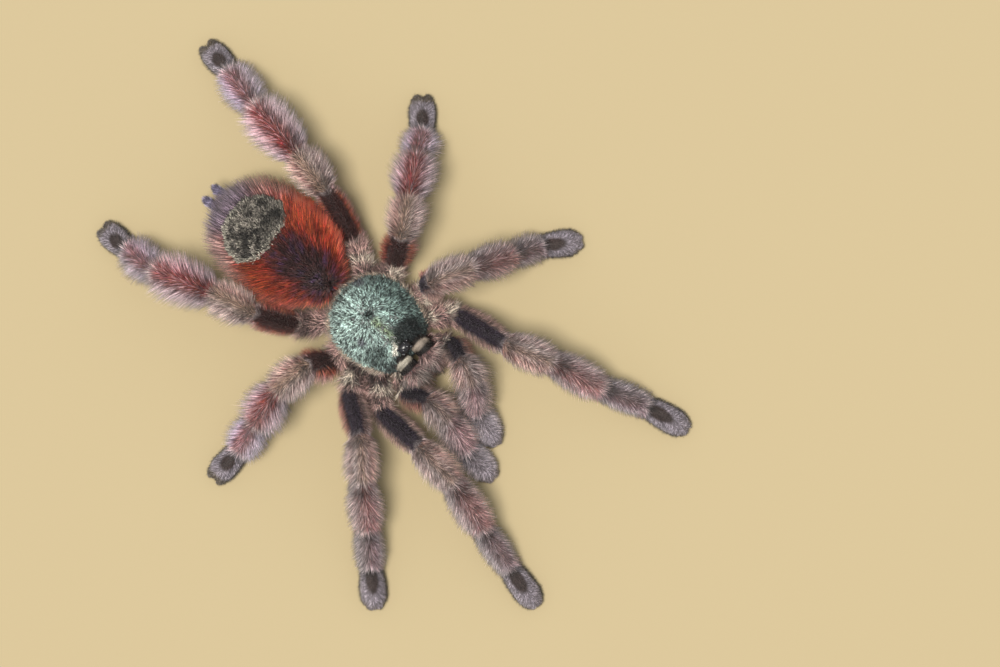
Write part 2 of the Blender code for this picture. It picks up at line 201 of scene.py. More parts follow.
skinSizes = {
    "voxel": 0.36,
    "waist": 0.82,  # a segment's girth at its joints, against its thickest
    "coat": {  # half width and height of the solids, hair included
        1: {"femur": (2.6, 2.8), "patella": (3.6, 3.3), "tibia": (3.6, 3.4), "metatarsus": (3.1, 2.9)},
        2: {"femur": (2.6, 2.8), "patella": (3.6, 3.3), "tibia": (3.6, 3.4), "metatarsus": (3.2, 2.9)},
        3: {"femur": (2.6, 2.7), "patella": (3.7, 3.3), "tibia": (4.2, 3.7), "metatarsus": (3.7, 3.1)},
        4: {"femur": (2.4, 2.6), "patella": (3.7, 3.4), "tibia": (4.4, 3.9), "metatarsus": (3.8, 3.3)},
        "palp": {"femur": (2.1, 2.1), "patella": (3.0, 2.7), "tibia": (3.0, 2.7)},
    },
    "tarsusCoat": {"leg": (2.9, 2.6), "palp": (2.8, 2.75)},
    "bare": {  # half width and height of the skin
        "leg": {
            "hip": (1.6, 1.6),
            "femur": (1.85, 2.0),
            "patella": (2.15, 1.95),
            "tibia": (2.1, 1.95),
            "metatarsus": (1.85, 1.7),
            "tarsus": (2.45, 1.95),
        },
        "palp": {
            "hip": (1.05, 1.05),
            "femur": (1.5, 1.55),
            "patella": (1.85, 1.65),
            "tibia": (2.0, 1.75),
            "tarsus": (2.4, 2.1),
        },
    },
    "tarsusShape": ((0, 0.62, 0.3, 0.58, 0.8, 0.93, 1.0), (0.72, 1.0, 0.93, 1.0, 0.97, 0.82, 0.5)),
    "footClearance": 0.3,
    "hipMargin": 0.45,
    "start": -0.6,  # where a limb's skin begins, and how far apart its stations are
    "step": 0.5,
    "tubeSides": 24,
    "abdomenSides": 48,
    "flatFrom": 0.8,  # beyond the wrist the sole is flat
}


class Tube:  # a bent body part: stations along it, each with an oval section
    def __init__(self, name, places, centres, directions, side, widths, heights):
        self.name = name
        self.places = np.asarray(places, float)
        self.centres = np.asarray(centres, float)
        self.directions = unit(np.asarray(directions, float))
        side = np.asarray(side, float)
        self.sides = unit(side - self.directions * dot(side, self.directions)[:, None])
        self.ups = np.cross(self.sides, self.directions)
        self.widths = np.asarray(widths, float)
        self.heights = np.asarray(heights, float)

    def rings(self, count, flatFrom=None):
        angles = np.linspace(0, 2 * np.pi, count, endpoint=False)
        rise = np.sin(angles)[None, :, None] * np.ones((len(self.places), 1, 1))
        if flatFrom is not None:
            low = (rise < 0) & (self.places >= flatFrom)[:, None, None]
            rise = np.where(low, -np.sqrt(np.abs(rise)), rise)
        across = self.widths[:, None, None] * np.cos(angles)[None, :, None]
        points = self.centres[:, None] + self.sides[:, None] * across
        points = points + self.ups[:, None] * (self.heights[:, None, None] * rise)
        points[..., 2] = np.maximum(points[..., 2], skinSizes["footClearance"])
        return points


class LimbLine:  # through the joints, with its corners rounded off
    def __init__(self, joints, bend):
        self.joints = np.array(joints)
        self.bend = bend
        self.marks = np.concatenate([[0], np.cumsum(np.linalg.norm(np.diff(self.joints, axis=0), axis=1))])

    def straight(self, at):
        run = np.clip(np.searchsorted(self.marks, at, side="right") - 1, 0, len(self.marks) - 2)
        share = (at - self.marks[run]) / (self.marks[run + 1] - self.marks[run])
        return self.joints[run] + (self.joints[run + 1] - self.joints[run]) * share[:, None]

    def points(self, at):
        steps = 8
        found = [self.straight(at + self.bend * (2 * k / steps - 1)) for k in range(steps + 1)]
        return (sum(found[1:-1]) + (found[0] + found[-1]) / 2) / steps

    def directions(self, at):
        return unit(self.straight(at + self.bend) - self.straight(at - self.bend))


def outwardOf(name):  # to her left is positive
    return 1 if "left" in name else -1


def limbJoints(name):
    (rootSide, rootForward), headings, slopes = stance["limbs"][name]
    pair = "palp" if name.startswith("palp") else int(name[-1])
    kind = "palp" if pair == "palp" else "leg"
    outward = outwardOf(name)
    hipSide, hipForward = stance["hips"][pair]
    joints = [
        np.array((outward * hipSide, -hipForward, stance["hipHeight"])),
        np.array((outward * rootSide, -rootForward, stance["trochanterHeight"])),
    ]
    lengths = stance["segments"][pair]
    drops = [math.sin(math.radians(slope)) * length for slope, length in zip(slopes, lengths)]
    drops.append(stance["wristHeight"][kind] - stance["trochanterHeight"] - sum(drops))
    drops.append(stance["toeHeight"][kind] - stance["wristHeight"][kind])
    for heading, length, drop in zip(headings, lengths, drops):
        reach = math.sqrt(length**2 - drop**2)
        turn = math.radians(heading)
        joints.append(joints[-1] + (outward * math.cos(turn) * reach, -math.sin(turn) * reach, drop))
    return pair, kind, joints


def swelling(share, waist):
    return waist + (1 - waist) * np.sin(np.pi * np.clip(share, 0, 1)) ** 0.7


limbInfo = {}


def limbTube(name):
    pair, kind, joints = limbJoints(name)
    line = LimbLine(joints, stance["bend"])
    places = np.arange(skinSizes["start"], line.marks[-1] + 0.01, skinSizes["step"])
    places[-1] = line.marks[-1]
    parts = partsOf[kind]
    segment = np.clip(np.searchsorted(line.marks, places, side="right") - 1, 0, len(parts) - 1)
    share = np.clip((places - line.marks[segment]) / (line.marks[segment + 1] - line.marks[segment]), 0, 1)
    widths, heights, coats = (np.empty(len(places)) for _ in range(3))
    for number, part in enumerate(parts):
        here = segment == number
        wide, high = skinSizes["bare"][kind][part]
        if part == "tarsus":
            spots, sizes = skinSizes["tarsusShape"]
            order = np.argsort(spots)
            size = np.interp(share[here], np.array(spots)[order], np.array(sizes)[order])
            outer, waist = skinSizes["tarsusCoat"][kind][0], 0.9
        elif part == "hip":
            size = np.interp(share[here], (0, 0.3, 0.62, 0.85, 1), (0.8, 0.97, 1.0, 1.06, 1.0))
            outer, waist = wide + skinSizes["hipMargin"], 0.9
        else:
            size = swelling(share[here], skinSizes["waist"])
            outer, waist = skinSizes["coat"][pair][part][0], 0.86
        widths[here], heights[here] = wide * size, high * size
        coats[here] = np.maximum(outer * swelling(share[here], waist) - widths[here], 0.3)
    along = joints[-1] - joints[1]
    limbInfo[name] = {"pair": pair, "kind": kind, "marks": line.marks, "coats": coats}
    side = (along[1], -along[0], 0.0)
    return Tube(name, places, line.points(places), line.directions(places), side, widths, heights)


trunk = {"forward": 2.0, "halfLength": 9.0, "halfWidth": 5.6, "halfHeight": 2.3, "height": 6.3}
pedicel = {"from": 2.0, "to": 10.5, "stations": 18, "height": 6.8, "radius": 1.0}
jaws = {
    "side": 2.45,
    "rootForward": 11.7,
    "reach": 3.9,
    "topHeight": 10.1,
    "drop": 4.7,
    "girths": ((0, 0.3, 0.6, 0.85, 1.0), (2.3, 2.35, 2.2, 1.8, 1.2), (2.3, 2.5, 2.4, 2.0, 1.3)),
    "bars": ((2.45, 11.6, 0.12), (-2.6, 11.65, -0.07)),  # left and right: middle, and slope outward
    "barHalf": (2.5, 0.68),
    "rim": 1.2,
    "coat": 0.3,
    "bow": math.radians(72),
    "run": 7.0,  # from root to tip, along the bow
    "fuzzLength": 3.6,
}
abdomen = {
    "lean": math.radians(4.5),
    "shift": -0.35,
    "front": 8.0,
    "halfSize": (10.2, 14.4, 8.5),
    "taper": 0.09,
    "height": 11.0,
    "coat": (1.7, 1.0, 1.5),  # how deep the coat is across, along and up
}
spinnerets = (  # root and tip, from the abdomen's rear, across and up, and the radius
    ("spinneret", (-3.2, 1.0, 6.2), (3.1, 1.55, 8.2), 0.95),
    ("short_spinneret", (-3.4, 0.55, 5.3), (-0.5, 0.65, 5.1), 0.38),
)
spinneretHair = 0.9


def ovalTube(name, places, centres, direction, widths, heights):
    count = len(places)
    return Tube(name, places, centres, np.tile(direction, (count, 1)), (1.0, 0.0, 0.0), widths, heights)


def trunkTube():
    turn = np.linspace(0.05, np.pi - 0.05, 36)
    along = -np.cos(turn)
    y = -trunk["forward"] - along * trunk["halfLength"]
    centres = np.stack([np.zeros_like(y), y, np.full_like(y, trunk["height"])], 1)
    size = np.sin(turn) ** 0.8
    widths, heights = trunk["halfWidth"] * size, trunk["halfHeight"] * size
    return ovalTube("trunk", along * trunk["halfLength"], centres, (0, -1.0, 0), widths, heights)


def pedicelTube():
    y = np.linspace(pedicel["from"], pedicel["to"], pedicel["stations"])
    centres = np.stack([np.zeros_like(y), y, np.full_like(y, pedicel["height"])], 1)
    girth = np.full_like(y, pedicel["radius"])
    return ovalTube("pedicel", y, centres, (0, 1.0, 0), girth, girth)


def jawTube(side, outward):
    share = np.linspace(-0.25, 1.0, 26)
    turn = share * np.pi / 2
    spots, widths, heights = jaws["girths"]
    forward = jaws["rootForward"] + jaws["reach"] * np.sin(turn)
    z = jaws["topHeight"] - jaws["drop"] * (1 - np.cos(turn))
    centres = np.stack([np.full_like(z, outward * jaws["side"]), -forward, z], 1)
    aim = jaws["bow"] * share
    directions = np.stack([np.zeros_like(z), -np.cos(aim), -np.sin(aim)], 1)
    wide = np.interp(share, spots, widths) - jaws["coat"]
    high = np.interp(share, spots, heights) - jaws["coat"]
    return Tube(f"jaw_{side}", share * jaws["run"], centres, directions, (1.0, 0, 0), wide, high)


def behind(along, across, z):  # along the abdomen's axis from its front, and across it to her left
    lean, shift, front = abdomen["lean"], abdomen["shift"], abdomen["front"]
    x = shift + across * np.cos(lean) - along * np.sin(lean)
    y = front + along * np.cos(lean) + across * np.sin(lean)
    return np.stack([x, y, np.broadcast_to(z, np.shape(x))], -1)


def abdomenTube():
    wide, long, high = np.array(abdomen["halfSize"]) - np.array(abdomen["coat"])
    middle = abdomen["halfSize"][1]
    turn = np.linspace(0.06, np.pi - 0.06, 64)
    back = -np.cos(turn)
    taper = 1 - abdomen["taper"] * back
    size = np.sin(turn) * taper
    along = middle + long * back
    centres = behind(along, np.zeros_like(along), abdomen["height"])
    lean = abdomen["lean"]
    directions = np.tile((-math.sin(lean), math.cos(lean), 0.0), (len(along), 1))
    side = (-math.cos(lean), -math.sin(lean), 0.0)  # her right, as she is seen from the front going back
    return Tube("abdomen", along, centres, directions, side, wide * size, high * size)


def spinneretTube(name, start, end, radius):
    share = np.linspace(0, 1, 20)
    shape = np.interp(share, (0, 0.2, 0.38, 0.55, 0.7, 0.86, 1), (0.95, 1.05, 0.9, 1.0, 0.86, 0.92, 0.6))
    centres = start + (end - start) * share[:, None]
    directions = np.tile(end - start, (len(share), 1))
    places, girth = share * np.linalg.norm(end - start), radius * shape
    return Tube(name, places, centres, directions, (1.0, 0, 0), girth, girth)


def spinneretTubes():
    rear = 2 * abdomen["halfSize"][1]
    found = []
    for side, outward in flanks:
        for name, *ends, radius in spinnerets:
            start, end = (behind(rear + along, outward * across, z) for along, across, z in ends)
            found.append(spinneretTube(f"{name}_{side}", start, end, radius))
    return found


tubes = [trunkTube(), pedicelTube(), *(jawTube(*flank) for flank in flanks), abdomenTube(), *spinneretTubes()]
tubes += [limbTube(name) for name in stance["limbs"]]


def tubeFaces(stations, count, first):
    faces = []
    for row in range(stations - 1):
        for k in range(count):
            near, beside = first + row * count + k, first + row * count + (k + 1) % count
            faces.append((near, beside, beside + count, near + count))
    faces.append(tuple(first + k for k in reversed(range(count))))
    faces.append(tuple(first + (stations - 1) * count + k for k in range(count)))
    return faces


lobes = {"behindToe": 1.5, "ahead": 0.7, "long": 1.25, "high": 1.1, "rear": (1.05, 0.98), "front": (0.62, 1.12)}


def toeLobes(tube):  # the two pads of hair either side of the claws
    found = []
    spot = np.argmax(tube.places >= tube.places[-1] - lobes["behindToe"])
    side, ahead, up = tube.sides[spot], tube.directions[spot], tube.ups[spot]
    apart, wide = lobes["rear" if tube.name[-1] in "34" else "front"]
    for outward in (-1, 1):
        ball = bmesh.new()
        bmesh.ops.create_uvsphere(ball, u_segments=14, v_segments=8, radius=1.0)
        corners = np.array([vert.co[:] for vert in ball.verts])
        rounds = [[vert.index for vert in face.verts] for face in ball.faces]
        ball.free()
        centre = tube.centres[spot] + side * outward * apart + ahead * lobes["ahead"]
        shaped = centre + side * corners[:, :1] * wide
        shaped = shaped + ahead * corners[:, 1:2] * lobes["long"] + up * corners[:, 2:] * lobes["high"]
        shaped[:, 2] = np.maximum(shaped[:, 2], skinSizes["footClearance"])
        found.append((shaped, rounds))
    return found


def readNumbers(items, field):
    found = np.empty(len(items), np.int32)
    items.foreach_get(field, found)
    return found


def readVectors(items, field):
    found = np.empty(len(items) * 3)
    items.foreach_get(field, found)
    return found.reshape(-1, 3)


def makeSkin():
    points, faces, owners = [], [], []
    total = 0
    for number, tube in enumerate(tubes):
        isLimb = tube.name in limbInfo
        count = skinSizes["abdomenSides" if tube.name == "abdomen" else "tubeSides"]
        flatFrom = limbInfo[tube.name]["marks"][-2] + skinSizes["flatFrom"] if isLimb else None
        rings = tube.rings(count, flatFrom)
        faces += tubeFaces(len(rings), count, total)
        points.append(rings.reshape(-1, 3))
        owners += [(number, row) for row in range(len(rings)) for _ in range(count)]
        total += len(rings) * count
        for shaped, rounds in toeLobes(tube) if isLimb else ():
            faces += [tuple(total + k for k in corner) for corner in rounds]
            points.append(shaped)
            owners += [(number, len(rings) - 3)] * len(shaped)
            total += len(shaped)
    points = np.concatenate(points)
    rough = meshOf("roughSkin", points, faces)
    facingOut(rough)
    body = linked("roughSkin", rough)
    remesh = body.modifiers.new("remesh", "REMESH")
    remesh.mode = "VOXEL"
    remesh.voxel_size = skinSizes["voxel"]
    relax = body.modifiers.new("relax", "SMOOTH")
    relax.iterations = 4
    relax.factor = 0.5
    mesh = workedOut(body)
    tree = KDTree(len(points))
    for index, point in enumerate(points):
        tree.insert(point, index)
    tree.balance()
    places = readVectors(mesh.vertices, "co")
    owners = np.array(owners)[[tree.find(point)[1] for point in places]]
    return mesh, places, owners[:, 0], owners[:, 1]


skinMesh, skinPoints, skinTube, skinRow = makeSkin()
print(f"skin: {len(skinPoints)} points, {len(skinMesh.polygons)} faces")


class Ground:  # what the coat needs to know at each point of the skin
    def __init__(self, points, normals, tubeOf, rowOf):
        count = len(points)
        self.points, self.normals, self.tube = points, normals, tubeOf
        self.direction, self.side, self.up = (np.zeros((count, 3)) for _ in range(3))
        self.place, self.cos, self.sin, self.coat, self.rosy = (np.zeros(count) for _ in range(5))
        self.part = np.full(count, "trunk", dtype="U12")
        self.share = np.zeros(count)
        self.pair = np.zeros(count, int)
        for number, tube in enumerate(tubes):
            here = tubeOf == number
            if not here.any():
                continue
            row = rowOf[here]
            for mine, its in ((self.direction, tube.directions), (self.side, tube.sides), (self.up, tube.ups)):
                mine[here] = its[row]
            offset = points[here] - tube.centres[row]
            ahead = dot(offset, tube.directions[row])
            step = np.clip(ahead, -0.6, 0.6)
            self.place[here] = tube.places[row] + step
            across = dot(offset, tube.sides[row]) / tube.widths[row]
            rise = dot(offset, tube.ups[row]) / tube.heights[row]
            reach = np.maximum(np.hypot(across, rise), 1e-6)
            self.cos[here], self.sin[here] = across / reach, rise / reach
            self.part[here] = tube.name.split("_")[0] if tube.name not in limbInfo else "hip"
            if tube.name in limbInfo:
                info = limbInfo[tube.name]
                parts = np.array(partsOf[info["kind"]])
                marks = info["marks"]
                segment = np.searchsorted(marks, self.place[here], side="right") - 1
                segment = np.clip(segment, 0, len(parts) - 1)
                self.part[here] = parts[segment]
                length = marks[segment + 1] - marks[segment]
                self.share[here] = np.clip((self.place[here] - marks[segment]) / length, 0, 1)
                self.pair[here] = 0 if info["pair"] == "palp" else info["pair"]
                self.coat[here] = info["coats"][row]
                self.rosy[here] = self.cos[here] * outwardOf(tube.name) * (-1 if info["pair"] in (3, 4) else 1)
        self.part[self.part == "short"] = "spinneret"
        self.part[self.part == "pedicel"] = "trunk"

    def over(self, chosen):
        copied = object.__new__(Ground)
        for label, values in self.__dict__.items():
            copied.__dict__[label] = values[chosen]
        return copied


ground = Ground(skinPoints, readVectors(skinMesh.vertex_normals, "vector"), skinTube, skinRow)


tones = {  # root and tip, or one tone for both
    # the violet of the femur velvet's tips is painted sheen
    "velvet": (0x211A1E, 0x453A4A),
    "velvetRear": (0x26110F, 0x50302C),
    "femurFlank": (0x42302E, 0xA88A80),
    "femurRear": (0x4C1C14, 0x9A5542),
    "pale": (0xA89A8E, 0xC4B6B4),
    "crescent": 0xC4B6B4,
    "patella": (0x5E423A, 0xB09A8E),
    "patellaEdge": (0x74483F, 0xC2908E),
    "patellaOlive": (0x6E5846, 0xAC937C),
    "tibia": (0x783634, 0xC2908E),
    "tibiaMiddle": (0x4E2A28, 0xA0706A),
    "tibiaRear": (0x701C16, 0xAA443C),
    "onset": (0x42221E, 0x80584F),
    "onsetRear": (0x5E1C12, 0x9A4838),
    "ring": 0xD2C2C2,
    "metatarsus": (0x745256, 0xB49EA6),
    "metatarsusMiddle": (0x553B35, 0xA0706A),
    "tarsus": (0x686064, 0xC2B8C4),
    "spot": (0x30241F, 0x3A2C26),
    "toe": 0x4A4030,
    "scopula": 0x2C2728,
    "patellaHalo": 0xD8BEB4,
    "tibiaHalo": 0xDECACA,
    "tibiaHaloRear": 0xDEC8D2,
    "metatarsusHalo": 0xD8CCD2,
    "metatarsusHaloRear": 0xD4CAE4,
    "hip": (0x3C2E2A, 0xD2ACA4),
    "hipCream": 0xE4D6C4,
    "belly": (0x5E4F4D, 0x3C2E2A),
    "flame": (0x982C1A, 0xDE6640),
    "ember": (0x5A1E14, 0x8A3420),
    "core": (0x1E100E, 0x432626),
    "violet": 0x5A4068,
    "rear": (0x5E5260, 0xA896A6),
    "rosy": 0xE0BDB6,
    "patch": (0x24211F, 0xA69E92),
    "patchRim": 0xD2CBBA,
    "spinneret": (0x706884, 0xC8BED6),
    "jaw": (0xA09284, 0xAC9E90),
    "jawKhaki": (0xBEB5A4, 0xCEC6B8),
    "jawMist": 0xC2BAB0,
    "jawEdge": (0x140D0A, 0x2E211B),
    "jawFuzz": (0x7A5856, 0xE0BEBA),
    "mint": 0xD2ECE4,
    "teal": 0xA9CCC4,
    "moss": 0x9AA86E,
    "pine": 0x1F2F2A,
    # black for painted shade on the head's steep front slopes
    "shadeBlack": 0x121218,
    "plum": 0x77707F,
    "cream": 0xCDB9A6,
    "white": 0xEDE6D8,
}


def toneOf(codes):
    return np.stack([tone(code) for code in (codes if isinstance(codes, tuple) else (codes, codes))])[:, None]


shades = {label: toneOf(codes) for label, codes in tones.items()}
lightness = {  # of each part on the palps, the front legs and the rear legs, against the tones above
    "hip": (1.0, 1.0, 1.0),
    "femur": (0.62, 0.95, 0.9),
    "patella": (1.1, 1.26, 1.32),
    "tibia": (1.5, 1.36, 1.24),
    "metatarsus": (1.0, 1.14, 1.52),
    "tarsus": (1.34, 1.22, 1.16),
}


def washed(pair, over, share, tipShare=None):  # pairs of root and tip, or tones' names, blended
    pair, over = (shades[each] if isinstance(each, str) else each for each in (pair, over))
    shares = (share, share if tipShare is None else tipShare)
    return np.stack([blended(*each) for each in zip(pair, over, shares)])


def lit(label, root, tip):  # a pair of tones, each made brighter or darker
    return shades[label] * np.array((root, tip)).reshape(2, 1, 1)


def clouded(pair, values, *ranges):  # root and tip brightened from a low value by a gain
    return np.stack([each * (low + gain * values[:, None]) for each, (low, gain) in zip(pair, ranges)])


def lightnessOf(g):
    group = np.where(g.pair == 0, 0, np.where(g.pair >= 3, 2, 1))
    found = [lightness.get(part, (1.0, 1.0, 1.0))[where] for part, where in zip(g.part, group)]
    return np.array(found)[:, None]


def sided(g, colours, blush=1.0):  # front legs are rosy ahead and greyer behind, rear legs the other way round
    onShank = np.isin(g.part, ["patella", "tibia", "metatarsus"])
    grey = (colours @ (0.2126, 0.7152, 0.0722))[:, None] * (1.07, 0.97, 1.0)
    colours = blended(colours, grey, 0.4 * between(0.4, -0.6, g.rosy) * onShank)
    return colours * (1 + blush * (between(0.0, 0.8, g.rosy) * onShank)[:, None] * (0.04, -0.06, -0.01))


def rustOn(g):  # how rusty the femur's flanks are
    return np.maximum(g.pair >= 3, (0.6 * (g.pair == 2) + 0.5 * (g.pair == 0)) * (g.rosy < 0))


def offBand(g):  # how far aside of a femur's dark band, which leans rearward on the second legs
    aside = np.abs(g.cos)
    return np.where(g.pair == 2, np.abs(g.rosy + 0.3), np.where(g.pair == 3, aside - 0.12, aside))


def legTones(g):  # root and tip of the lying coat on a limb
    pair = np.tile(shades["hip"], (1, len(g.points), 1))
    aside, onTop, share = np.abs(g.cos), g.sin > 0, g.share
    rear, onLeg = (g.pair >= 3).astype(float), (g.pair > 0).astype(float)
    never = rear * 0
    low = between(0.1, -0.5, g.sin)
    side = np.maximum(between(0.45, 0.9, aside) * 0.85, low)
    ragged = 0.3 * (mottle(g.points, 0.5, 14) - 0.5)
    broad = between(0.85, 0.35, aside + ragged) * onTop * between(0.97, 0.7, share) * onLeg
    onset = between(0.5, 0.05, share)  # each segment starts darker and redder than it ends
    brightRing = lit("ring", 1.0, 1.3)

    def paint(part, painted):
        here = g.part == part
        pair[:, here] = painted[:, here]

    deep = np.maximum(between(0.7, 0.95, offBand(g) + ragged), low)
    femur = washed("velvet", "velvetRear", rear)
    femur = washed(femur, washed("femurFlank", "femurRear", rustOn(g)), deep, deep * 0.7)
    femur = washed(femur, "pale", between(0.12, 0.02, share) * 0.45)
    knee = between(0.93, 1.0, share + 0.4 * ragged) * between(1.0, 0.6, aside) * (0.55 + 0.25 * rear)
    paint("femur", washed(femur, "crescent", knee * 0.3, knee))

    patella = washed("patella", "patellaEdge", side, np.maximum(side * 0.7, rear * 0.4))
    stripe = ridge(aside, 0.42, 0.12) * onTop * between(0.05, 0.2, share) * between(0.9, 0.75, share)
    patella = washed(patella, "ring", stripe * 0.4, stripe * 0.6)
    patella = washed(patella, "onset", onset * (0.35 + 0.35 * rear))
    patella = washed(patella, "patellaOlive", between(0.8, 0.4, aside) * onTop * (0.2 * onLeg + 0.45 * rear))
    fringe = between(0.88, 0.98, share) * (1 - 0.6 * rear)
    paint("patella", washed(patella, "ring", fringe * 0.25, fringe))

    tibia = washed("metatarsus", "tibia", 0.3 + 0.7 * onLeg, 0.4 + 0.6 * onLeg)
    tibia = washed(tibia, "tibiaMiddle", broad * 0.8, broad * 0.75)
    tibia = washed(tibia, washed("onset", "onsetRear", rear), onset * (0.35 + 0.45 * onLeg))
    tibia = washed(tibia, "tibiaRear", rear * 0.6, rear * 0.55)
    ring = between(0.88, 0.98, share)
    paint("tibia", washed(tibia, brightRing, ring * 0.35, ring))

    metatarsus = washed("metatarsus", "tibia", rear * 0.55, never)
    middle = washed("metatarsusMiddle", "tibiaRear", never, rear)
    metatarsus = washed(metatarsus, middle, broad * (1 - rear * 0.8), broad * (0.5 + rear * 0.2))
    edge = between(0.0, -0.15, g.sin)
    metatarsus = washed(metatarsus, "scopula", edge * (1 - rear * 0.5), edge * 0.9 * (1 - rear))
    dusk = (broad * between(0.45, 0.1, share) * (1 - rear))[:, None]
    ring = between(0.87, 0.98, share)
    paint("metatarsus", washed(metatarsus * (1 - 0.4 * dusk), brightRing, ring * 0.35, ring))

    spot = ((share - 0.29 - 0.12 * rear) / (0.36 - 0.1 * rear)) ** 2 + (g.cos / 0.52) ** 2
    spot = between(1.2, 0.75, spot + ragged) * onTop * (0.4 + 0.55 * onLeg)
    toe = between(0.84, 0.94, share) * np.maximum(rear, between(0.5, 0.1, g.sin))
    tarsus = washed(washed("tarsus", "spot", spot), "toe", toe, toe * 0.8)
    paint("tarsus", washed(tarsus, "scopula", between(0.1, -0.1, g.sin)))

    # a dark band just past each joint: painted shade where one segment meets the next
    shadedParts = np.isin(g.part, ["patella", "tibia", "metatarsus", "tarsus"])
    jointShade = 1 - 0.55 * ridge(share, 0.13, 0.08) * shadedParts
    cloud = ((0.8 + 0.4 * mottle(g.points, 1.1, 2)) * jointShade)[:, None] * lightnessOf(g)
    return np.stack([sided(g, each * cloud) for each in pair])


def abdomenPlaces(points):  # along from the front, across to her left and up, each against the abdomen's size
    lean, front, shift = abdomen["lean"], abdomen["front"], abdomen["shift"]
    x, y = points[:, 0] - shift, points[:, 1] - front
    along = -x * math.sin(lean) + y * math.cos(lean)
    across = x * math.cos(lean) + y * math.sin(lean)
    wide, long, high = abdomen["halfSize"]
    return along / (2 * long), across / wide, (points[:, 2] - abdomen["height"]) / high


patch = {
    "along": 0.708,
    "across": -0.01,
    "halfAlong": 0.172,
    "halfAcross": 0.72,
    "widest": 0.66,
    "taper": 1.0,
    "roundness": 2.8,
    "hairLength": 1.05,
}


def patchAt(points):  # below 1 on the bald-looking patch of barbed hairs
    along, across, up = abdomenPlaces(points)
    halfAcross = patch["halfAcross"] - patch["taper"] * np.maximum(along - patch["widest"], 0)
    onward = np.abs(along - patch["along"]) / patch["halfAlong"]
    aside = np.abs(across - patch["across"]) / np.maximum(halfAcross, 0.1)
    power = patch["roundness"]
    reach = (onward**power + aside**power) ** (1 / power) + 0.12 * (mottle(points, 0.7, 15) - 0.5)
    return np.where(up > 0, reach, 9.0)


def abdomenTones(g):
    along, across, up = abdomenPlaces(g.points)
    aside, onTop, visible = np.abs(g.cos), up > 0, up > -0.5
    ragged = mottle(g.points * (1, 0.35, 1), 0.8, 5) - 0.5
    heart = np.sqrt(((along - 0.26) / 0.34) ** 2 + ((across + 0.02) / 0.46) ** 2)
    core = between(1.25, 0.45, heart + 0.5 * ragged) * onTop
    middle = between(0.8, 0.3, np.abs(across) + 0.3 * ragged) * onTop
    glow = 1.0 + 0.3 * np.clip(across * 1.5, -1, 0.7)  # her left flank is the brighter
    glow = glow * (1 - 0.4 * between(0.3, 0.55, along) * between(-0.3, -0.7, across))
    glow = (glow * (1 - 0.25 * between(0.6, 0.75, along)))[:, None]
    pair = washed("flame", "ember", 0.25 + 0.75 * middle, middle) * glow
    dull = (shades["belly"][0], shades["rosy"][1] * 0.5)
    pair = washed(pair, dull, between(0.66, 0.84, along) * 0.6)
    # the tips at the silhouette are made brighter and pinker: painted rim light through the hair on the flanks
    # turning away
    edge = between(0.78, 0.98, aside) * visible * (1 - 0.85 * between(0.5, 0.72, along))
    pair[1] *= (1 + 1.2 * edge)[:, None]
    pair = washed(pair, (shades["flame"][1], shades["rosy"][1]), edge * 0.6, edge * 0.25)
    side = between(0.42, 0.62, along) * between(0.88, 0.99, aside) * visible
    pair = washed(pair, lit("rosy", 1.0, 1.2), side * 0.15, side * 0.85)
    pair = washed(pair, "core", core)
    violet = core * between(0.62, 0.72, mottle(g.points, 0.7, 9)) * 0.7
    pair = washed(pair, "violet", violet * 0, violet)
    pair = washed(pair, "rear", between(0.8, 0.92, along + 0.08 * across**2))
    return washed(pair, "belly", between(-0.2, -0.7, up))


def jawTones(g):  # a smooth pale bar across each base, dark round it, then fuzz
    x, forward = g.points[:, 0], -g.points[:, 1]
    left = x > 0
    middle, ahead, slope = (np.where(left, *ends) for ends in zip(*jaws["bars"]))
    onward = forward - ahead - slope * (np.abs(x) - np.abs(middle))
    halfLong, halfWide = jaws["barHalf"]
    across = np.abs(x - middle) / halfLong
    ragged = 0.3 * (mottle(g.points, 0.4, 8) - 0.5)
    edge = (across**2.2 + (np.abs(onward) / halfWide) ** 2) ** (1 / 2.1) + ragged
    bar = between(1.08, 0.92, edge) * (g.normals[:, 2] > -0.3)
    # the pale bar darkens towards its front and along a crease: painted shade, over real streaks along the bar
    creaseShade = 0.35 * ridge(onward, 0.15, 0.14)
    crossing = 0.2 * ridge((x - middle) * np.sign(x), 0.9, 0.2)
    streaks = 0.5 * mottle(g.points * (0.4, 1, 1), 0.3, 19)
    streaksAndShade = 0.9 + streaks - 0.5 * between(-0.5, 0.8, onward) - creaseShade - crossing
    past = onward - halfWide * np.sqrt(np.maximum(1 - across**2.2, 0.05))
    front = np.maximum(between(jaws["rim"], jaws["rim"] + 0.25, past), between(1.15, 1.3, across))
    pale = np.where(left[:, None], shades["jaw"], shades["jawKhaki"]) * streaksAndShade[:, None]
    mist = between(0.45, 0.65, mottle(g.points, 1.4, 18))
    fuzz = washed("jawFuzz", "jawMist", mist * 0, mist)
    return washed(washed("jawEdge", pale, bar), fuzz, front), bar, front


def skinTones(g):
    root = legTones(g)[0]
    onAbdomen, onJaw = g.part == "abdomen", g.part == "jaw"
    root[onAbdomen] = abdomenTones(g.over(onAbdomen))[0]
    root[onAbdomen & (patchAt(g.points) < 1)] = shades["patch"][0]
    root[g.part == "trunk"] = shades["hip"][0] * 0.7
    root[g.part == "spinneret"] = shades["spinneret"][0]
    root[onJaw] = jawTones(g.over(onJaw))[0][0]
    return root


uvPatch = 0.003  # the size of each tuft's own place in the map
uvSpan = 0.98
sunkBy = 0.00008
floorClearance = 0.00004


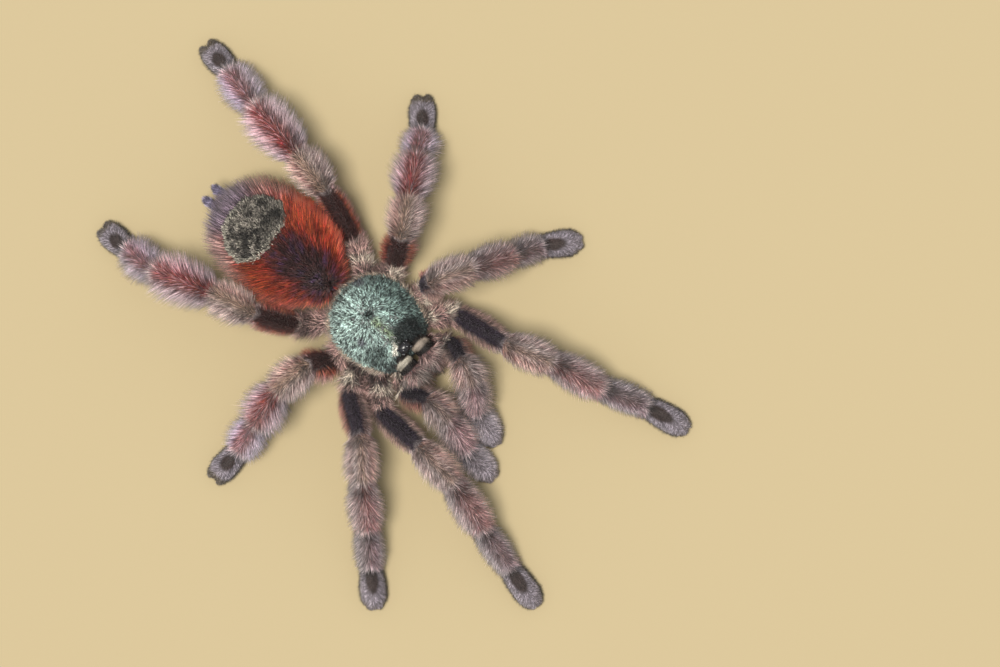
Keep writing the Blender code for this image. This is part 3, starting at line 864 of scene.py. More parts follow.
def coatTree():  # one tree of geometry nodes grows every layer of the coat
    tree = bpy.data.node_groups.new("growCoat", "GeometryNodeTree")
    face = tree.interface
    face.new_socket("Geometry", in_out="INPUT", socket_type="NodeSocketGeometry")
    for label in ("Tufts per m2", "Width", "Lift", "Spread", "Tangle", "Tangle Size", "Curl"):
        face.new_socket(label, in_out="INPUT", socket_type="NodeSocketFloat")
    face.new_socket("Seed", in_out="INPUT", socket_type="NodeSocketInt")
    face.new_socket("Material", in_out="INPUT", socket_type="NodeSocketMaterial")
    face.new_socket("Geometry", in_out="OUTPUT", socket_type="NodeSocketGeometry")
    given = tree.nodes.new("NodeGroupInput").outputs
    result = tree.nodes.new("NodeGroupOutput")

    def add(kind, wires=None, **settings):
        return addNode(tree, kind, wires, **settings)

    def shape(kind, wires, **settings):
        return add("GeometryNode" + kind, wires, **settings).outputs[0]

    def vector(operation, *sources):
        wires = {0: sources[0], 3: sources[1]} if operation == "SCALE" else dict(enumerate(sources))
        return add("ShaderNodeVectorMath", wires, operation=operation).outputs[0]

    def number(operation, *sources):
        return add("ShaderNodeMath", dict(enumerate(sources)), operation=operation).outputs[0]

    def joined(*parts):
        return add("ShaderNodeCombineXYZ", dict(enumerate(parts))).outputs[0]

    def named(label, kind="FLOAT"):
        return add("GeometryNodeInputNamedAttribute", {"Name": label}, data_type=kind).outputs["Attribute"]

    def store(geometry, label, value, kind="FLOAT", domain="POINT"):
        wires = {"Geometry": geometry, "Name": label, "Value": value}
        return shape("StoreNamedAttribute", wires, data_type=kind, domain=domain)

    def moved(geometry, socket, value):
        return shape("SetPosition", {"Geometry": geometry, socket: value})

    def chance(low, high, extra):
        wires = {2: low, 3: high, 8: number("ADD", seed, extra)}
        return add("FunctionNodeRandomValue", wires, data_type="FLOAT").outputs[1]

    seed = given["Seed"]
    density = number("MULTIPLY", given["Tufts per m2"], named("thickness"))
    wires = {"Mesh": given["Geometry"], "Density": density, "Seed": seed}
    sown = add("GeometryNodeDistributePointsOnFaces", wires, distribute_method="RANDOM")
    normal = sown.outputs["Normal"]
    place = add("GeometryNodeInputPosition").outputs[0]
    lie = vector("NORMALIZE", named("lie", "FLOAT_VECTOR"))
    wires = {0: (-1, -1, -1), 1: (1, 1, 1), 8: seed}
    stray = add("FunctionNodeRandomValue", wires, data_type="FLOAT_VECTOR").outputs[0]
    fineness = number("DIVIDE", 1.0, given["Tangle Size"])
    noise = add("ShaderNodeTexNoise", {"Vector": vector("SCALE", place, fineness), "Scale": 1.0, "Detail": 1.0})
    swirl = vector("SUBTRACT", noise.outputs["Color"], (0.5, 0.5, 0.5))
    heading = lie
    ways = ((normal, "Lift", "rise"), (stray, "Spread", "stray"), (swirl, "Tangle", "stray"))
    for way, socket, label in ways:
        heading = vector("ADD", heading, vector("SCALE", way, number("MULTIPLY", given[socket], named(label))))
    heading = vector("NORMALIZE", heading)
    length = number("MULTIPLY", named("hairLength"), chance(0.62, 1.12, 1.0))
    sweep = vector("SCALE", vector("SUBTRACT", lie, heading), number("MULTIPLY", length, given["Curl"]))
    points = store(sown.outputs["Points"], "sweep", sweep, "FLOAT_VECTOR")
    points = store(points, "heading", heading, "FLOAT_VECTOR")
    points = store(points, "tuftLength", length)
    points = store(points, "shade", chance(0.0, 1.0, 2.0))
    points = moved(points, "Offset", vector("SCALE", normal, -sunkBy))
    wires = {"Vertices": 3, "Side Segments": 1, "Radius Top": 0.0, "Radius Bottom": 1.0, "Depth": 1.0}
    cone = shape("MeshCone", wires, fill_type="NGON")
    local = add("ShaderNodeSeparateXYZ", {0: place}).outputs
    cone = store(cone, "along", local["Z"])
    leaf = joined(number("MULTIPLY_ADD", local["Y"], 0.4, local["X"]), local["Z"])
    cone = store(cone, "leaf", leaf, "FLOAT_VECTOR")
    belly = number("MULTIPLY_ADD", local["Z"], 0.9, 1.0)  # a tuft keeps its width until it nears its tip
    cone = moved(cone, "Position", vector("MULTIPLY", place, joined(belly, belly, 1.0)))
    turn = add("FunctionNodeAlignRotationToVector", {"Vector": named("heading", "FLOAT_VECTOR")}, axis="Z")
    width = number("MULTIPLY", given["Width"], chance(0.7, 1.3, 3.0))
    scale = joined(width, width, named("tuftLength"))
    wires = {"Points": points, "Instance": cone, "Rotation": turn.outputs[0], "Scale": scale}
    grown = shape("RealizeInstances", {"Geometry": shape("InstanceOnPoints", wires)})
    along = named("along")
    bent = vector("SCALE", named("sweep", "FLOAT_VECTOR"), number("MULTIPLY", along, along))
    above = vector("MAXIMUM", vector("ADD", place, bent), (-1.0, -1.0, floorClearance))
    grown = moved(grown, "Position", above)
    wrap = add("ShaderNodeSeparateXYZ", {0: named("wrap", "FLOAT_VECTOR")}).outputs
    around = number("MULTIPLY_ADD", number("ARCTAN2", wrap["Y"], wrap["X"]), uvSpan / (2 * math.pi), 0.5)
    onward = number("MULTIPLY_ADD", wrap["Z"], uvSpan, (1 - uvSpan) / 2)
    flat = vector("ADD", joined(around, onward), vector("SCALE", named("leaf", "FLOAT_VECTOR"), uvPatch))
    grown = store(grown, "OFBake", flat, "FLOAT2", "CORNER")
    grown = shape("SetShadeSmooth", {"Geometry": grown})
    grown = shape("SetMaterial", {"Geometry": grown, "Material": given["Material"]})
    tree.links.new(grown, result.inputs["Geometry"])
    return tree


growCoat = coatTree()
inputNames = {item.name: item.identifier for item in growCoat.interface.items_tree if item.in_out == "INPUT"}
thin = 1.0
bedAttributes = {
    "lie": "FLOAT_VECTOR",
    "wrap": "FLOAT_VECTOR",
    "rootColour": "FLOAT_COLOR",
    "tipColour": "FLOAT_COLOR",
    "hairLength": "FLOAT",
    "thickness": "FLOAT",
    "rise": "FLOAT",
    "stray": "FLOAT",
}
scratch = ("lie", "wrap", "sweep", "heading", "tuftLength", "leaf", "hairLength", "thickness", "rise", "stray")


def plainMesh(name, points, corners, starts, totals):
    mesh = bpy.data.meshes.new(name)
    mesh.vertices.add(len(points))
    mesh.vertices.foreach_set("co", np.asarray(points, np.float32).ravel())
    mesh.loops.add(len(corners))
    mesh.loops.foreach_set("vertex_index", corners.astype(np.int32))
    mesh.polygons.add(len(starts))
    mesh.polygons.foreach_set("loop_start", starts.astype(np.int32))
    mesh.polygons.foreach_set("loop_total", totals.astype(np.int32))
    mesh.update(calc_edges=True)
    return mesh


def setAttribute(mesh, label, kind, values):
    made = mesh.attributes.new(label, kind, "POINT")
    if kind == "FLOAT_COLOR":
        values = np.concatenate([values, np.ones((len(values), 1))], 1)
    field = {"FLOAT_COLOR": "color", "FLOAT_VECTOR": "vector", "FLOAT": "value"}[kind]
    made.data.foreach_set(field, values.astype(np.float32).ravel())


allCorners = readNumbers(skinMesh.loops, "vertex_index")
allStarts, allTotals = (readNumbers(skinMesh.polygons, field) for field in ("loop_start", "loop_total"))
triangleCount = {}


def placed(name, mesh, slot, *replaced):
    piece = linked(name, mesh)
    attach(piece, "root")
    if replaced:
        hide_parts(*replaced)


def growOn(name, mesh, groom, layer, finish, slot):
    for label, kind in bedAttributes.items():
        setAttribute(mesh, label, kind, groom[label])
    bed = linked(name + "_bed", mesh)
    grow = bed.modifiers.new("growCoat", "NODES")
    grow.node_group = growCoat
    for socket, value in {**layers[layer], "Material": materials[finish]}.items():
        grow[inputNames[socket]] = value
    coat = workedOut(bed)
    for label in scratch:
        if label in coat.attributes:
            coat.attributes.remove(coat.attributes[label])
    placed(name, coat, slot)
    triangleCount[name] = int(np.sum(readNumbers(coat.polygons, "loop_total") - 2))
    print(f"{name}: {triangleCount[name]} triangles")


def bedOver(name, chosenFaces):  # a piece of the skin for a coat to grow on
    starts, totals = allStarts[chosenFaces], allTotals[chosenFaces]
    picked = np.concatenate([np.arange(start, start + total) for start, total in zip(starts, totals)])
    used, corners = np.unique(allCorners[picked], return_inverse=True)
    newStarts = np.concatenate([[0], np.cumsum(totals)[:-1]])
    return plainMesh(name, inFrame(skinPoints[used]), corners, newStarts, totals), ground.over(used)


def groomed(pair, lie, length, wrap, thickness=1.0, rise=1.0, stray=1.0):  # what a coat needs over its bed
    ones = np.ones(len(lie))
    return {
        "lie": lie,
        "wrap": np.stack(wrap, 1),
        "rootColour": pair[0] * ones[:, None],
        "tipColour": pair[1] * ones[:, None],
        "hairLength": ones * length * mm,
        "thickness": ones * thickness,
        "rise": ones * rise,
        "stray": ones * stray,
    }


def lying(lie, normals):  # a direction, laid along the surface
    return unit(lie - normals * dot(lie, normals)[:, None])


def aroundOut(g):  # over the surface from the middle of the back towards the flanks
    facing = np.clip(g.cos / 0.35, -1, 1)[:, None]
    return facing * (g.side * g.sin[:, None] - g.up * g.cos[:, None])


layerRows = {  # tufts per mm2, width, lift in degrees, spread, tangle and its size, curl
    "femurShort": (24, 0.07, 24, 0.25, 0.5, 0.8, 0.0),
    "legShort": (26, 0.065, 34, 0.3, 0.7, 0.9, 0.0),
    "legLong": (25, 0.054, 52, 0.24, 0.6, 1.4, 0.1),
    "foot": (32, 0.06, 34, 0.24, 0.4, 0.8, 0.0),
    "hip": (24, 0.068, 52, 0.9, 2.8, 1.1, 0.2),
    "abdomenShort": (16, 0.075, 26, 0.2, 0.5, 0.9, 0.0),
    "abdomenLong": (30, 0.075, 38, 0.2, 0.6, 1.6, 0.2),
    "patch": (24, 0.24, 40, 1.2, 3.0, 0.5, 0.0),
    "spinneret": (30, 0.055, 38, 0.3, 0.3, 0.7, 0.0),
    "jaw": (44, 0.07, 12, 0.15, 0.4, 0.8, 0.0),
    "jawFuzz": (20, 0.085, 48, 0.7, 1.8, 1.0, 0.2),
    "carapace": (32, 0.17, 24, 0.75, 3.0, 0.7, 0.0),
    "fringe": (44, 0.07, 34, 0.4, 0.9, 1.2, 0.2),
}
layers = {
    label: {
        "Tufts per m2": density * 1e6 * thin,
        "Width": width * mm,
        "Lift": math.tan(math.radians(lift)),
        "Spread": spread,
        "Tangle": tangle,
        "Tangle Size": size * mm,
        "Curl": curl,
        "Seed": 11 * order + 3,
    }
    for order, (label, (density, width, lift, spread, tangle, size, curl)) in enumerate(layerRows.items())
}

finishes = {  # roughness, gloss, sheen, brightness from low to high with few bright ones, and drift of hue
    "hair": (0.42, 0.4, 0.12, (0.36, 2.1, 2.2), 0.018),
    "strand": (0.4, 0.45, 0.15, (0.38, 3.0, 2.5), 0.018),
    "velvet": (0.42, 0.4, 0.1, (0.5, 1.9, 2.1), 0.014),
    "tangle": (0.42, 0.45, 0.1, (0.22, 2.2, 1.9), 0.016),
    "carapaceHair": (0.4, 0.5, 0.05, (0.07, 1.98, 1.28), 0.02),
    "patchHair": (0.5, 0.35, 0.05, (0.26, 1.9, 1.7), 0.02),
    "flame": (0.4, 0.45, 0.05, (0.3, 2.9, 2.3), 0.014),
}
materials = {label: hairMaterial(label, *row) for label, row in finishes.items()}
tubeNumber = {tube.name: number for number, tube in enumerate(tubes)}


def limbWrap(g, firstPart):  # round the limb with a seam below, and along it from that part's root
    share = np.zeros(len(g.points))
    for name, info in limbInfo.items():
        here = g.tube == tubeNumber[name]
        if here.any():
            parts, marks = partsOf[info["kind"]], info["marks"]
            first = marks[parts.index(firstPart)]
            share[here] = np.clip((g.place[here] - first) / (marks[-1] - first), 0, 1)
    return g.sin, g.cos, share


shortLengths = {"hip": 1.6, "femur": 1.0, "patella": 1.7, "tibia": 1.8, "metatarsus": 1.5, "tarsus": 0.8}
longThickness = {"femur": 1.2, "patella": 0.95, "tibia": 1.15, "metatarsus": 1.0}
halos = (  # part, tone on the front and on the rear legs, and how much of it
    ("femur", "femurFlank", "femurRear", 0.9),
    ("patella", "patellaHalo", "patellaHalo", 0.8),
    ("tibia", "tibiaHalo", "tibiaHaloRear", 0.9),
    ("metatarsus", "metatarsusHalo", "metatarsusHaloRear", 0.9),
    ("tarsus", "metatarsusHalo", "metatarsusHalo", 0.8),
)


def shortGroom(g, firstPart):
    onFoot, onFemur = g.part == "tarsus", g.part == "femur"
    shorter = 1 - 0.15 * (onFemur * between(0.0, 0.7, g.sin))
    length = np.array([shortLengths[part] for part in g.part]) * shorter
    length = length * (1 + 0.5 * between(0.8, 0.95, g.share) * ~onFoot * ~onFemur)
    lie = lying(g.direction + aroundOut(g) * np.where(onFoot, 0.9, 0.45)[:, None], g.normals)
    sole = between(-0.5, -0.85, g.sin) * onFoot
    rim = ridge(g.sin, -0.25, 0.2) * np.isin(g.part, ["metatarsus", "tarsus"])
    edge = between(0.55, 0.1, g.sin) * onFoot * (1 - rim)
    length = length * (1 - 0.4 * sole) * (1 - 0.5 * edge) + 0.45 * rim
    rise = np.where(onFoot & (g.share > 0.8), 0.6, 1.0) + 2.2 * rim
    return groomed(legTones(g), lie, length, limbWrap(g, firstPart), rise=rise)


def longGroom(g, firstPart):
    root, base = legTones(g)
    rear, onTop = (g.pair >= 3).astype(float), between(0.5, 0.95, g.sin)
    onFemur, onPatella, onPalp = g.part == "femur", g.part == "patella", g.pair == 0
    tip = base.copy()
    for part, front, back, share in halos:
        here = g.part == part
        warm = rustOn(g) if part == "femur" else rear
        tip[here] = blended(base, blended(shades[front][1], shades[back][1], warm), share)[here]
    tip = sided(g, tip, -0.3)
    atFlank = between(0.35, 0.85, np.abs(g.cos))
    atEnd = between(0.82, 0.95, g.share) * (1 - 0.7 * onPatella * rear)
    tip = blended(tip * np.sqrt(lightnessOf(g)), base, 0.5 * (1 - atFlank) * (1 - atEnd))
    tip = blended(tip * (1 + 0.3 * atFlank)[:, None], shades["ring"][1] * 1.2, atEnd * 0.6)
    tip = tip * (0.68 + 0.32 * between(0.0, 0.4, g.share))[:, None]
    lie = lying(g.direction + aroundOut(g) * 0.5, g.normals)
    fluffy = np.where(onPalp, 3.0, np.where(rear > 0, 1.65, 1.68))
    length = g.coat * fluffy / math.sin(math.radians(layerRows["legLong"][2]))
    length = np.where(onFemur, length * np.where(rear > 0, 1.8, 1.5), length)
    length = length * (1 - 0.3 * onTop) * (1 - 0.35 * between(-0.3, -0.8, g.sin))
    length = length * (0.8 + 0.25 * np.sin(np.pi * g.share) ** 0.8) * (1 - 0.28 * between(0.75, 1.0, g.share))
    thickness = np.array([longThickness.get(part, 0.0) for part in g.part])
    thickness = np.where((g.part == "tarsus") & onPalp, between(0.9, 0.5, g.share), thickness)
    bareTop = thickness * (1 - (0.5 + 0.25 * rear + 0.15 * onPatella) * onTop)
    thickness = np.where(onFemur, thickness * between(0.7, 0.92, np.abs(g.cos)) * 0.7, bareTop)
    wispy = rear * between(0.2, 0.7, -g.rosy) * between(0.3, -0.2, g.sin) * (onFemur | onPatella)
    length, tip = np.clip(length * (1 + 0.3 * wispy), 0.8, 5.8), blended(tip, shades["rosy"][1], wispy * 0.8)
    rise = np.where(rear > 0, 1.3, 0.9)
    return groomed((root * 0.75, tip), lie, length, limbWrap(g, firstPart), thickness, rise)


firstCorner = allCorners[allStarts]
facePart = ground.part[firstCorner]
faceTube = skinTube[firstCorner]
limbCoats = (  # name, parts covered, how it is groomed, layer, finish and slot
    ("femur", ("femur",), shortGroom, "femurShort", "velvet", "femur_hair"),
    ("shank", ("patella", "tibia"), shortGroom, "legShort", "hair", "leg_hair"),
    ("foot", ("metatarsus", "tarsus"), shortGroom, "foot", "hair", "foot_hair"),
    ("long", ("femur", "patella", "tibia", "metatarsus"), longGroom, "legLong", "strand", "leg_hair"),
)

print("growing the coat")
for name in stance["limbs"]:
    isPalp = name.startswith("palp")
    for coat, parts, groomOf, layer, finish, slot in limbCoats:
        covered = [*parts, "tarsus"] if isPalp and coat == "long" else parts
        mesh, g = bedOver(name, (faceTube == tubeNumber[name]) & np.isin(facePart, covered))
        firstPart = "tarsus" if isPalp and coat == "foot" else parts[0]
        growOn(f"{coat}_coat_{name}", mesh, groomOf(g, firstPart), layer, finish, slot)

hips = {"length": 3.4, "shorter": 2.0, "thickness": 1.15, "thinner": 0.75, "middle": -3.0, "reach": 17}


def hipCoat():
    mesh, g = bedOver("hips", np.isin(facePart, ["hip", "trunk"]))
    outward = unit(g.points * (1, 1, 0) + 1e-6)
    lie = lying(g.direction * (g.part == "hip")[:, None] + outward * 0.5, g.normals)
    below = between(0.0, -0.6, g.normals[:, 2])
    cloud = between(0.25, 0.75, mottle(g.points, 1.9, 4))
    tuft = between(0.62, 0.72, mottle(g.points, 1.5, 16))
    pair = clouded(shades["hip"], cloud, (0.3, 1.1), (0.25, 1.15))
    pair = washed(pair, lit("hipCream", 0.4, 1.35), tuft * 0.6, tuft)
    x, forward = np.abs(g.points[:, 0]), -g.points[:, 1]
    besideJaws = between(8.6, 9.8, forward) * between(7.5, 6.0, x)
    gap = between(0.4, 0.1, cloud) * (1 - tuft)
    length = (hips["length"] - hips["shorter"] * below) * (0.7 + 0.6 * mottle(g.points, 1.5, 3))
    thickness = (hips["thickness"] - hips["thinner"] * below) * (1 - 0.6 * besideJaws * between(5.5, 4.5, x))
    y = g.points[:, 1] - hips["middle"]
    azimuth = np.arctan2(y, g.points[:, 0])
    radius = np.hypot(g.points[:, 0], y)
    onward = (g.normals[:, 2] < 0) * 0.5 + 0.48 * np.clip(radius / hips["reach"], 0, 1)
    length, thickness = length * (1 - 0.55 * besideJaws), thickness * (1 - 0.45 * gap)
    groom = groomed(pair, lie, length, (np.cos(azimuth), np.sin(azimuth), onward), thickness)
    growOn("hip_coat", mesh, groom, "hip", "tangle", "hip_hair")


def abdomenLie(g):  # backwards, and fanning out towards the flanks
    lean = abdomen["lean"]
    back = np.array((-math.sin(lean), math.cos(lean), 0.0))
    left = np.array((math.cos(lean), math.sin(lean), 0.0))
    along, across, _ = abdomenPlaces(g.points)
    fan = np.clip(across * 1.15, -1.0, 1.0) * between(1.0, 0.55, along)
    down = np.array((0, 0, -0.25)) * between(0.2, 0.8, np.abs(across))[:, None]
    return lying(back + left * fan[:, None] + down, g.normals)


abdomenHair = {  # lengths, and how much longer or shorter the long hair is in places
    "short": 1.7,
    "long": 2.8,
    "flank": 2.2,
    "rear": 0.5,
    "below": 1.4,
    "nearPatch": 1.5,
    "side": 1.1,
}


def abdomenCoat():
    onAbdomen = facePart == "abdomen"
    patchFace = onAbdomen & (patchAt(skinPoints)[firstCorner] < 1)
    mesh, g = bedOver("abdomen", onAbdomen & ~patchFace)
    along, across, up = abdomenPlaces(g.points)
    pair, lie, wrap = abdomenTones(g), abdomenLie(g), (g.sin, g.cos, np.clip(along, 0, 1))
    nearPatch = between(1.9, 1.1, patchAt(g.points)) * (along < patch["along"])
    groom = groomed(pair, lie, abdomenHair["short"] - 0.6 * nearPatch, wrap)
    growOn("abdomen_coat_short", mesh, groom, "abdomenShort", "flame", "abdomen_hair")

    mesh, g = bedOver("abdomen", onAbdomen & ~patchFace)
    flank = np.clip(between(0.3, 0.75, np.abs(across)) + between(0.1, 0.0, along), 0, 1)
    rear, below = between(0.8, 0.92, along), between(-0.1, -0.8, up)
    side = between(0.42, 0.62, along) * between(0.85, 0.98, np.abs(g.cos))
    length = abdomenHair["long"] + abdomenHair["flank"] * flank + abdomenHair["rear"] * rear
    length = length - abdomenHair["below"] * below - abdomenHair["nearPatch"] * nearPatch
    length = length + abdomenHair["side"] * side
    thickness = 0.5 + 0.7 * flank * (1 - below * 0.7) - 0.3 * nearPatch
    rise = 1.0 + 0.5 * rear + 0.35 * flank + 0.8 * side
    groom = groomed(pair, lie, length, wrap, thickness, rise)
    growOn("abdomen_coat_long", mesh, groom, "abdomenLong", "flame", "abdomen_hair")

    mesh, g = bedOver("patch", patchFace)
    reach = patchAt(g.points)
    along, across, _ = abdomenPlaces(g.points)
    rim = between(0.8, 0.95, reach) * (0.45 + 0.55 * between(0.3, -0.3, across))
    smooth = between(1.0, 0.6, np.hypot((along - 0.62) / 0.07, (across - 0.2) / 0.3))
    clump = 0.6 * mottle(g.points, 0.75, 6) + 0.4 * mottle(g.points, 1.7, 17)
    blotch = between(0.42, 0.6, clump) * (1 - 0.65 * smooth) * (0.75 + 0.25 * between(0.3, -0.5, across))
    pair = clouded(shades["patch"], blotch, (0.6, 0.8), (0.1, 1.0))
    pair = washed(pair, "patchRim", rim * 0, rim * 0.8)
    wrap = (-(along - patch["along"]) / patch["halfAlong"], across - patch["across"], np.clip(reach, 0, 1))
    groom = groomed(pair, abdomenLie(g), patch["hairLength"], wrap)
    growOn("patch_coat", mesh, groom, "patch", "patchHair", "abdomen_hair")


def tubeWrap(g, count):  # round each tube and along it, the tubes one after another
    return g.sin, g.cos, (g.tube - g.tube.min() + np.clip(g.place / jaws["run"], 0, 0.95)) / count


def spinneretCoat():
    mesh, g = bedOver("spinnerets", facePart == "spinneret")
    pair = shades["spinneret"] * (0.3 + 0.7 * np.sin(g.place * 2.1) ** 2)[:, None]
    groom = groomed(pair, lying(g.direction, g.normals), spinneretHair, tubeWrap(g, 4))
    growOn("spinneret_coat", mesh, groom, "spinneret", "hair", "spinneret_skin")


def jawCoat():
    mesh, g = bedOver("jaws", facePart == "jaw")
    pair, bar, front = jawTones(g)
    x = g.points[:, :1]
    spread = np.sign(x) * between(0.0, 1.8, np.abs(x[:, 0]) - jaws["side"])[:, None]
    lie = lying(blended(g.direction + spread * (1.6, 0, 0.3), np.sign(x) * (1.0, 0, 0), bar), g.normals)
    length, wrap = 0.5 + 0.1 * bar + 0.4 * front, tubeWrap(g, 2)
    groom = groomed(pair, lie, length, wrap, 1.1 - 0.4 * bar, 1.0 - 0.75 * bar)
    growOn("jaw_coat", mesh, groom, "jaw", "hair", "jaw_hair")

    mesh, g = bedOver("jaws", facePart == "jaw")
    pair = shades["jawFuzz"][0], blended(shades["jaw"][1], pair[1], front)
    strand = between(0.35, 0.15, np.abs(x[:, 0])) * between(10.6, 11.2, -g.points[:, 1]) * 0.8
    groom = groomed(pair, lie, jaws["fuzzLength"], wrap, np.maximum(front * 1.3, strand), 0.9)
    growOn("jaw_fuzz", mesh, groom, "jawFuzz", "tangle", "jaw_hair")


hipCoat()
abdomenCoat()
spinneretCoat()
jawCoat()


def grainyMaterial(name, roughness, gloss, grain, detail, darkest, lightest, bumpiness):
    made, tree, shader = newMaterial(name, Roughness=roughness, Specular_IOR_Level=gloss)
    place = addNode(tree, "ShaderNodeTexCoord").outputs["Object"]
    wires = {"Vector": place, "Scale": grain, "Detail": detail}
    noise = addNode(tree, "ShaderNodeTexNoise", wires).outputs["Fac"]
    value = addNode(tree, "ShaderNodeMapRange", {"Value": noise, "To Min": darkest, "To Max": lightest})
    wires = {"Value": value.outputs[0], "Color": attributeOf(tree, "rootColour")}
    dim = addNode(tree, "ShaderNodeHueSaturation", wires)
    tree.links.new(dim.outputs["Color"], shader.inputs["Base Color"])
    bump = addNode(tree, "ShaderNodeBump", {"Strength": bumpiness, "Distance": 0.0001, "Height": noise})
    tree.links.new(bump.outputs["Normal"], shader.inputs["Normal"])
    return made


def addPiece(name, mesh, material, slot, *replaced):
    mesh.materials.append(material)
    mesh.polygons.foreach_set("use_smooth", np.ones(len(mesh.polygons), bool))
    placed(name, mesh, slot, *replaced)


print("the skin")
mesh = plainMesh("skin", inFrame(skinPoints), allCorners, allStarts, allTotals)
setAttribute(mesh, "rootColour", "FLOAT_COLOR", skinTones(ground))
flesh = ["sternum", "pedicel", "abdomen", "chelicera_left", "chelicera_right"]
flesh += [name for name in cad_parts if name.startswith(("leg_", "palp_", "spinneret_"))]
# the grain dims the skin to between 0.35 and 0.95 of its tone: random grain, and also painted shade under the
# coat
addPiece("skin", mesh, grainyMaterial("skin", 0.62, 0.25, 4200.0, 3.0, 0.35, 0.95, 0.6), "leg_hair", *flesh)

carapace = {
    "forward": (-6.8, -5.6, -3.2, 0.0, 3.2, 6.2, 8.8, 10.6, 11.3),
    "halfWidth": (3.0, 5.5, 7.9, 8.9, 8.8, 8.1, 7.2, 6.2, 5.2),
    "tops": (10.2, 11.2, 12.0, 12.3, 12.8, 13.2, 13.2, 12.4, 10.9),
    "margin": 8.8,
    "floor": 8.3,
    "coat": 0.45,
    "inset": 0.2,
    "frontInset": 0.5,
    "spokes": 120,
    "rounds": 40,
    "dimple": (0.75, 0.75, 0.45),  # depth, and half sizes across and along
    "grooves": (20, 52, -22, -58, 128, 160, -158, -122),  # headings as seen from above
    "grooveDepth": 0.16,
    "hairLength": 0.7,
    "fringeLength": 1.7,
    "crescent": (-1.3, 8.3),  # its middle, across and forward
    "crescentLie": (-0.75, -0.66),
}
forwards, halfWidths = np.array(carapace["forward"]), np.array(carapace["halfWidth"])


def carapaceOutline(azimuth):  # how far the margin is from the fovea in each direction
    ring = np.concatenate([np.stack([halfWidths, -forwards], 1), np.stack([-halfWidths, -forwards], 1)[::-1]])
    angles = np.arctan2(ring[:, 1], ring[:, 0])
    reach = np.hypot(ring[:, 0], ring[:, 1])
    order = np.argsort(angles)
    angles, reach = angles[order], np.tile(reach[order], 3)
    angles = np.concatenate([angles - 2 * np.pi, angles, angles + 2 * np.pi])
    smooth = np.mean([np.interp(azimuth + turn, angles, reach) for turn in np.linspace(-0.12, 0.12, 7)], axis=0)
    front = np.abs(np.angle(np.exp(1j * (azimuth + math.radians(84)))))
    return smooth - carapace["inset"] - carapace["frontInset"] * between(0.5, 0.25, front)


def carapaceHeight(x, y, share):
    top = np.interp(-y, forwards, np.array(carapace["tops"])) - carapace["coat"]
    wide = np.interp(-y, forwards, halfWidths) - carapace["inset"] * 0.5
    across = np.clip(np.abs(x) / wide, 0, 1)
    dome = (1 - across**2.4) ** 0.75
    edge = (1 - np.clip(share, 0, 1) ** 8) ** 0.6
    return carapace["margin"] - 0.2 + (top - carapace["margin"] + 0.2) * np.minimum(dome, edge)


def makeCarapace():
    spokes, rounds, floor = carapace["spokes"], carapace["rounds"], carapace["floor"]
    azimuth = np.linspace(-np.pi, np.pi, spokes, endpoint=False)
    shares = np.linspace(0, 1, rounds + 1)[1:, None]
    outline = carapaceOutline(azimuth)
    x, y = np.cos(azimuth)[None] * outline[None] * shares, np.sin(azimuth)[None] * outline[None] * shares
    share = np.broadcast_to(shares, x.shape)
    reach, turned = np.hypot(x, y), np.arctan2(y, x)
    deep, wide, long = carapace["dimple"]
    dimple = deep * np.exp(-((x / wide) ** 2 + ((y - 0.1) / long) ** 2))
    groove = np.zeros_like(x)
    for spoke in carapace["grooves"]:
        gap = np.angle(np.exp(1j * (turned - math.radians(spoke)))) * np.maximum(reach, 0.6) / 0.42
        groove += np.exp(-(gap**2)) * between(0.8, 2.2, reach) * between(1.0, 0.75, share)
    z = carapaceHeight(x, y, share) - dimple - carapace["grooveDepth"] * groove
    zero = np.zeros(1)
    points = np.concatenate([
        [[0, 0, carapaceHeight(zero, zero, zero)[0] - deep]],
        np.stack([x, y, z], -1).reshape(-1, 3),
        np.stack([x[-1], y[-1], np.full(spokes, floor + 0.15)], -1),
        np.stack([x[-1] * 0.8, y[-1] * 0.8, np.full(spokes, floor + 0.2)], -1),
        [[0, 0, floor + 0.2]],
    ])
    faces = [(0, 1 + k, 1 + (k + 1) % spokes) for k in range(spokes)]
    for row in range(rounds + 1):
        for k in range(spokes):
            near, beside = 1 + row * spokes + k, 1 + row * spokes + (k + 1) % spokes
            faces.append((near, near + spokes, beside + spokes, beside))
    last = 1 + (rounds + 1) * spokes
    faces += [(last + (k + 1) % spokes, last + k, len(points) - 1) for k in range(spokes)]
    return points, faces


def crescentAt(x, forward):  # a white tuft behind the eyes, on her right
    (middle, middleForward), (across, back) = carapace["crescent"], carapace["crescentLie"]
    x, forward = x - middle, forward - middleForward
    onward, inward = forward * -back + x * across, forward * -across + x * -back
    bow = inward + 0.25 * onward**2
    return between(1.2, 0.85, np.hypot(onward / 1.2, bow / 0.5))


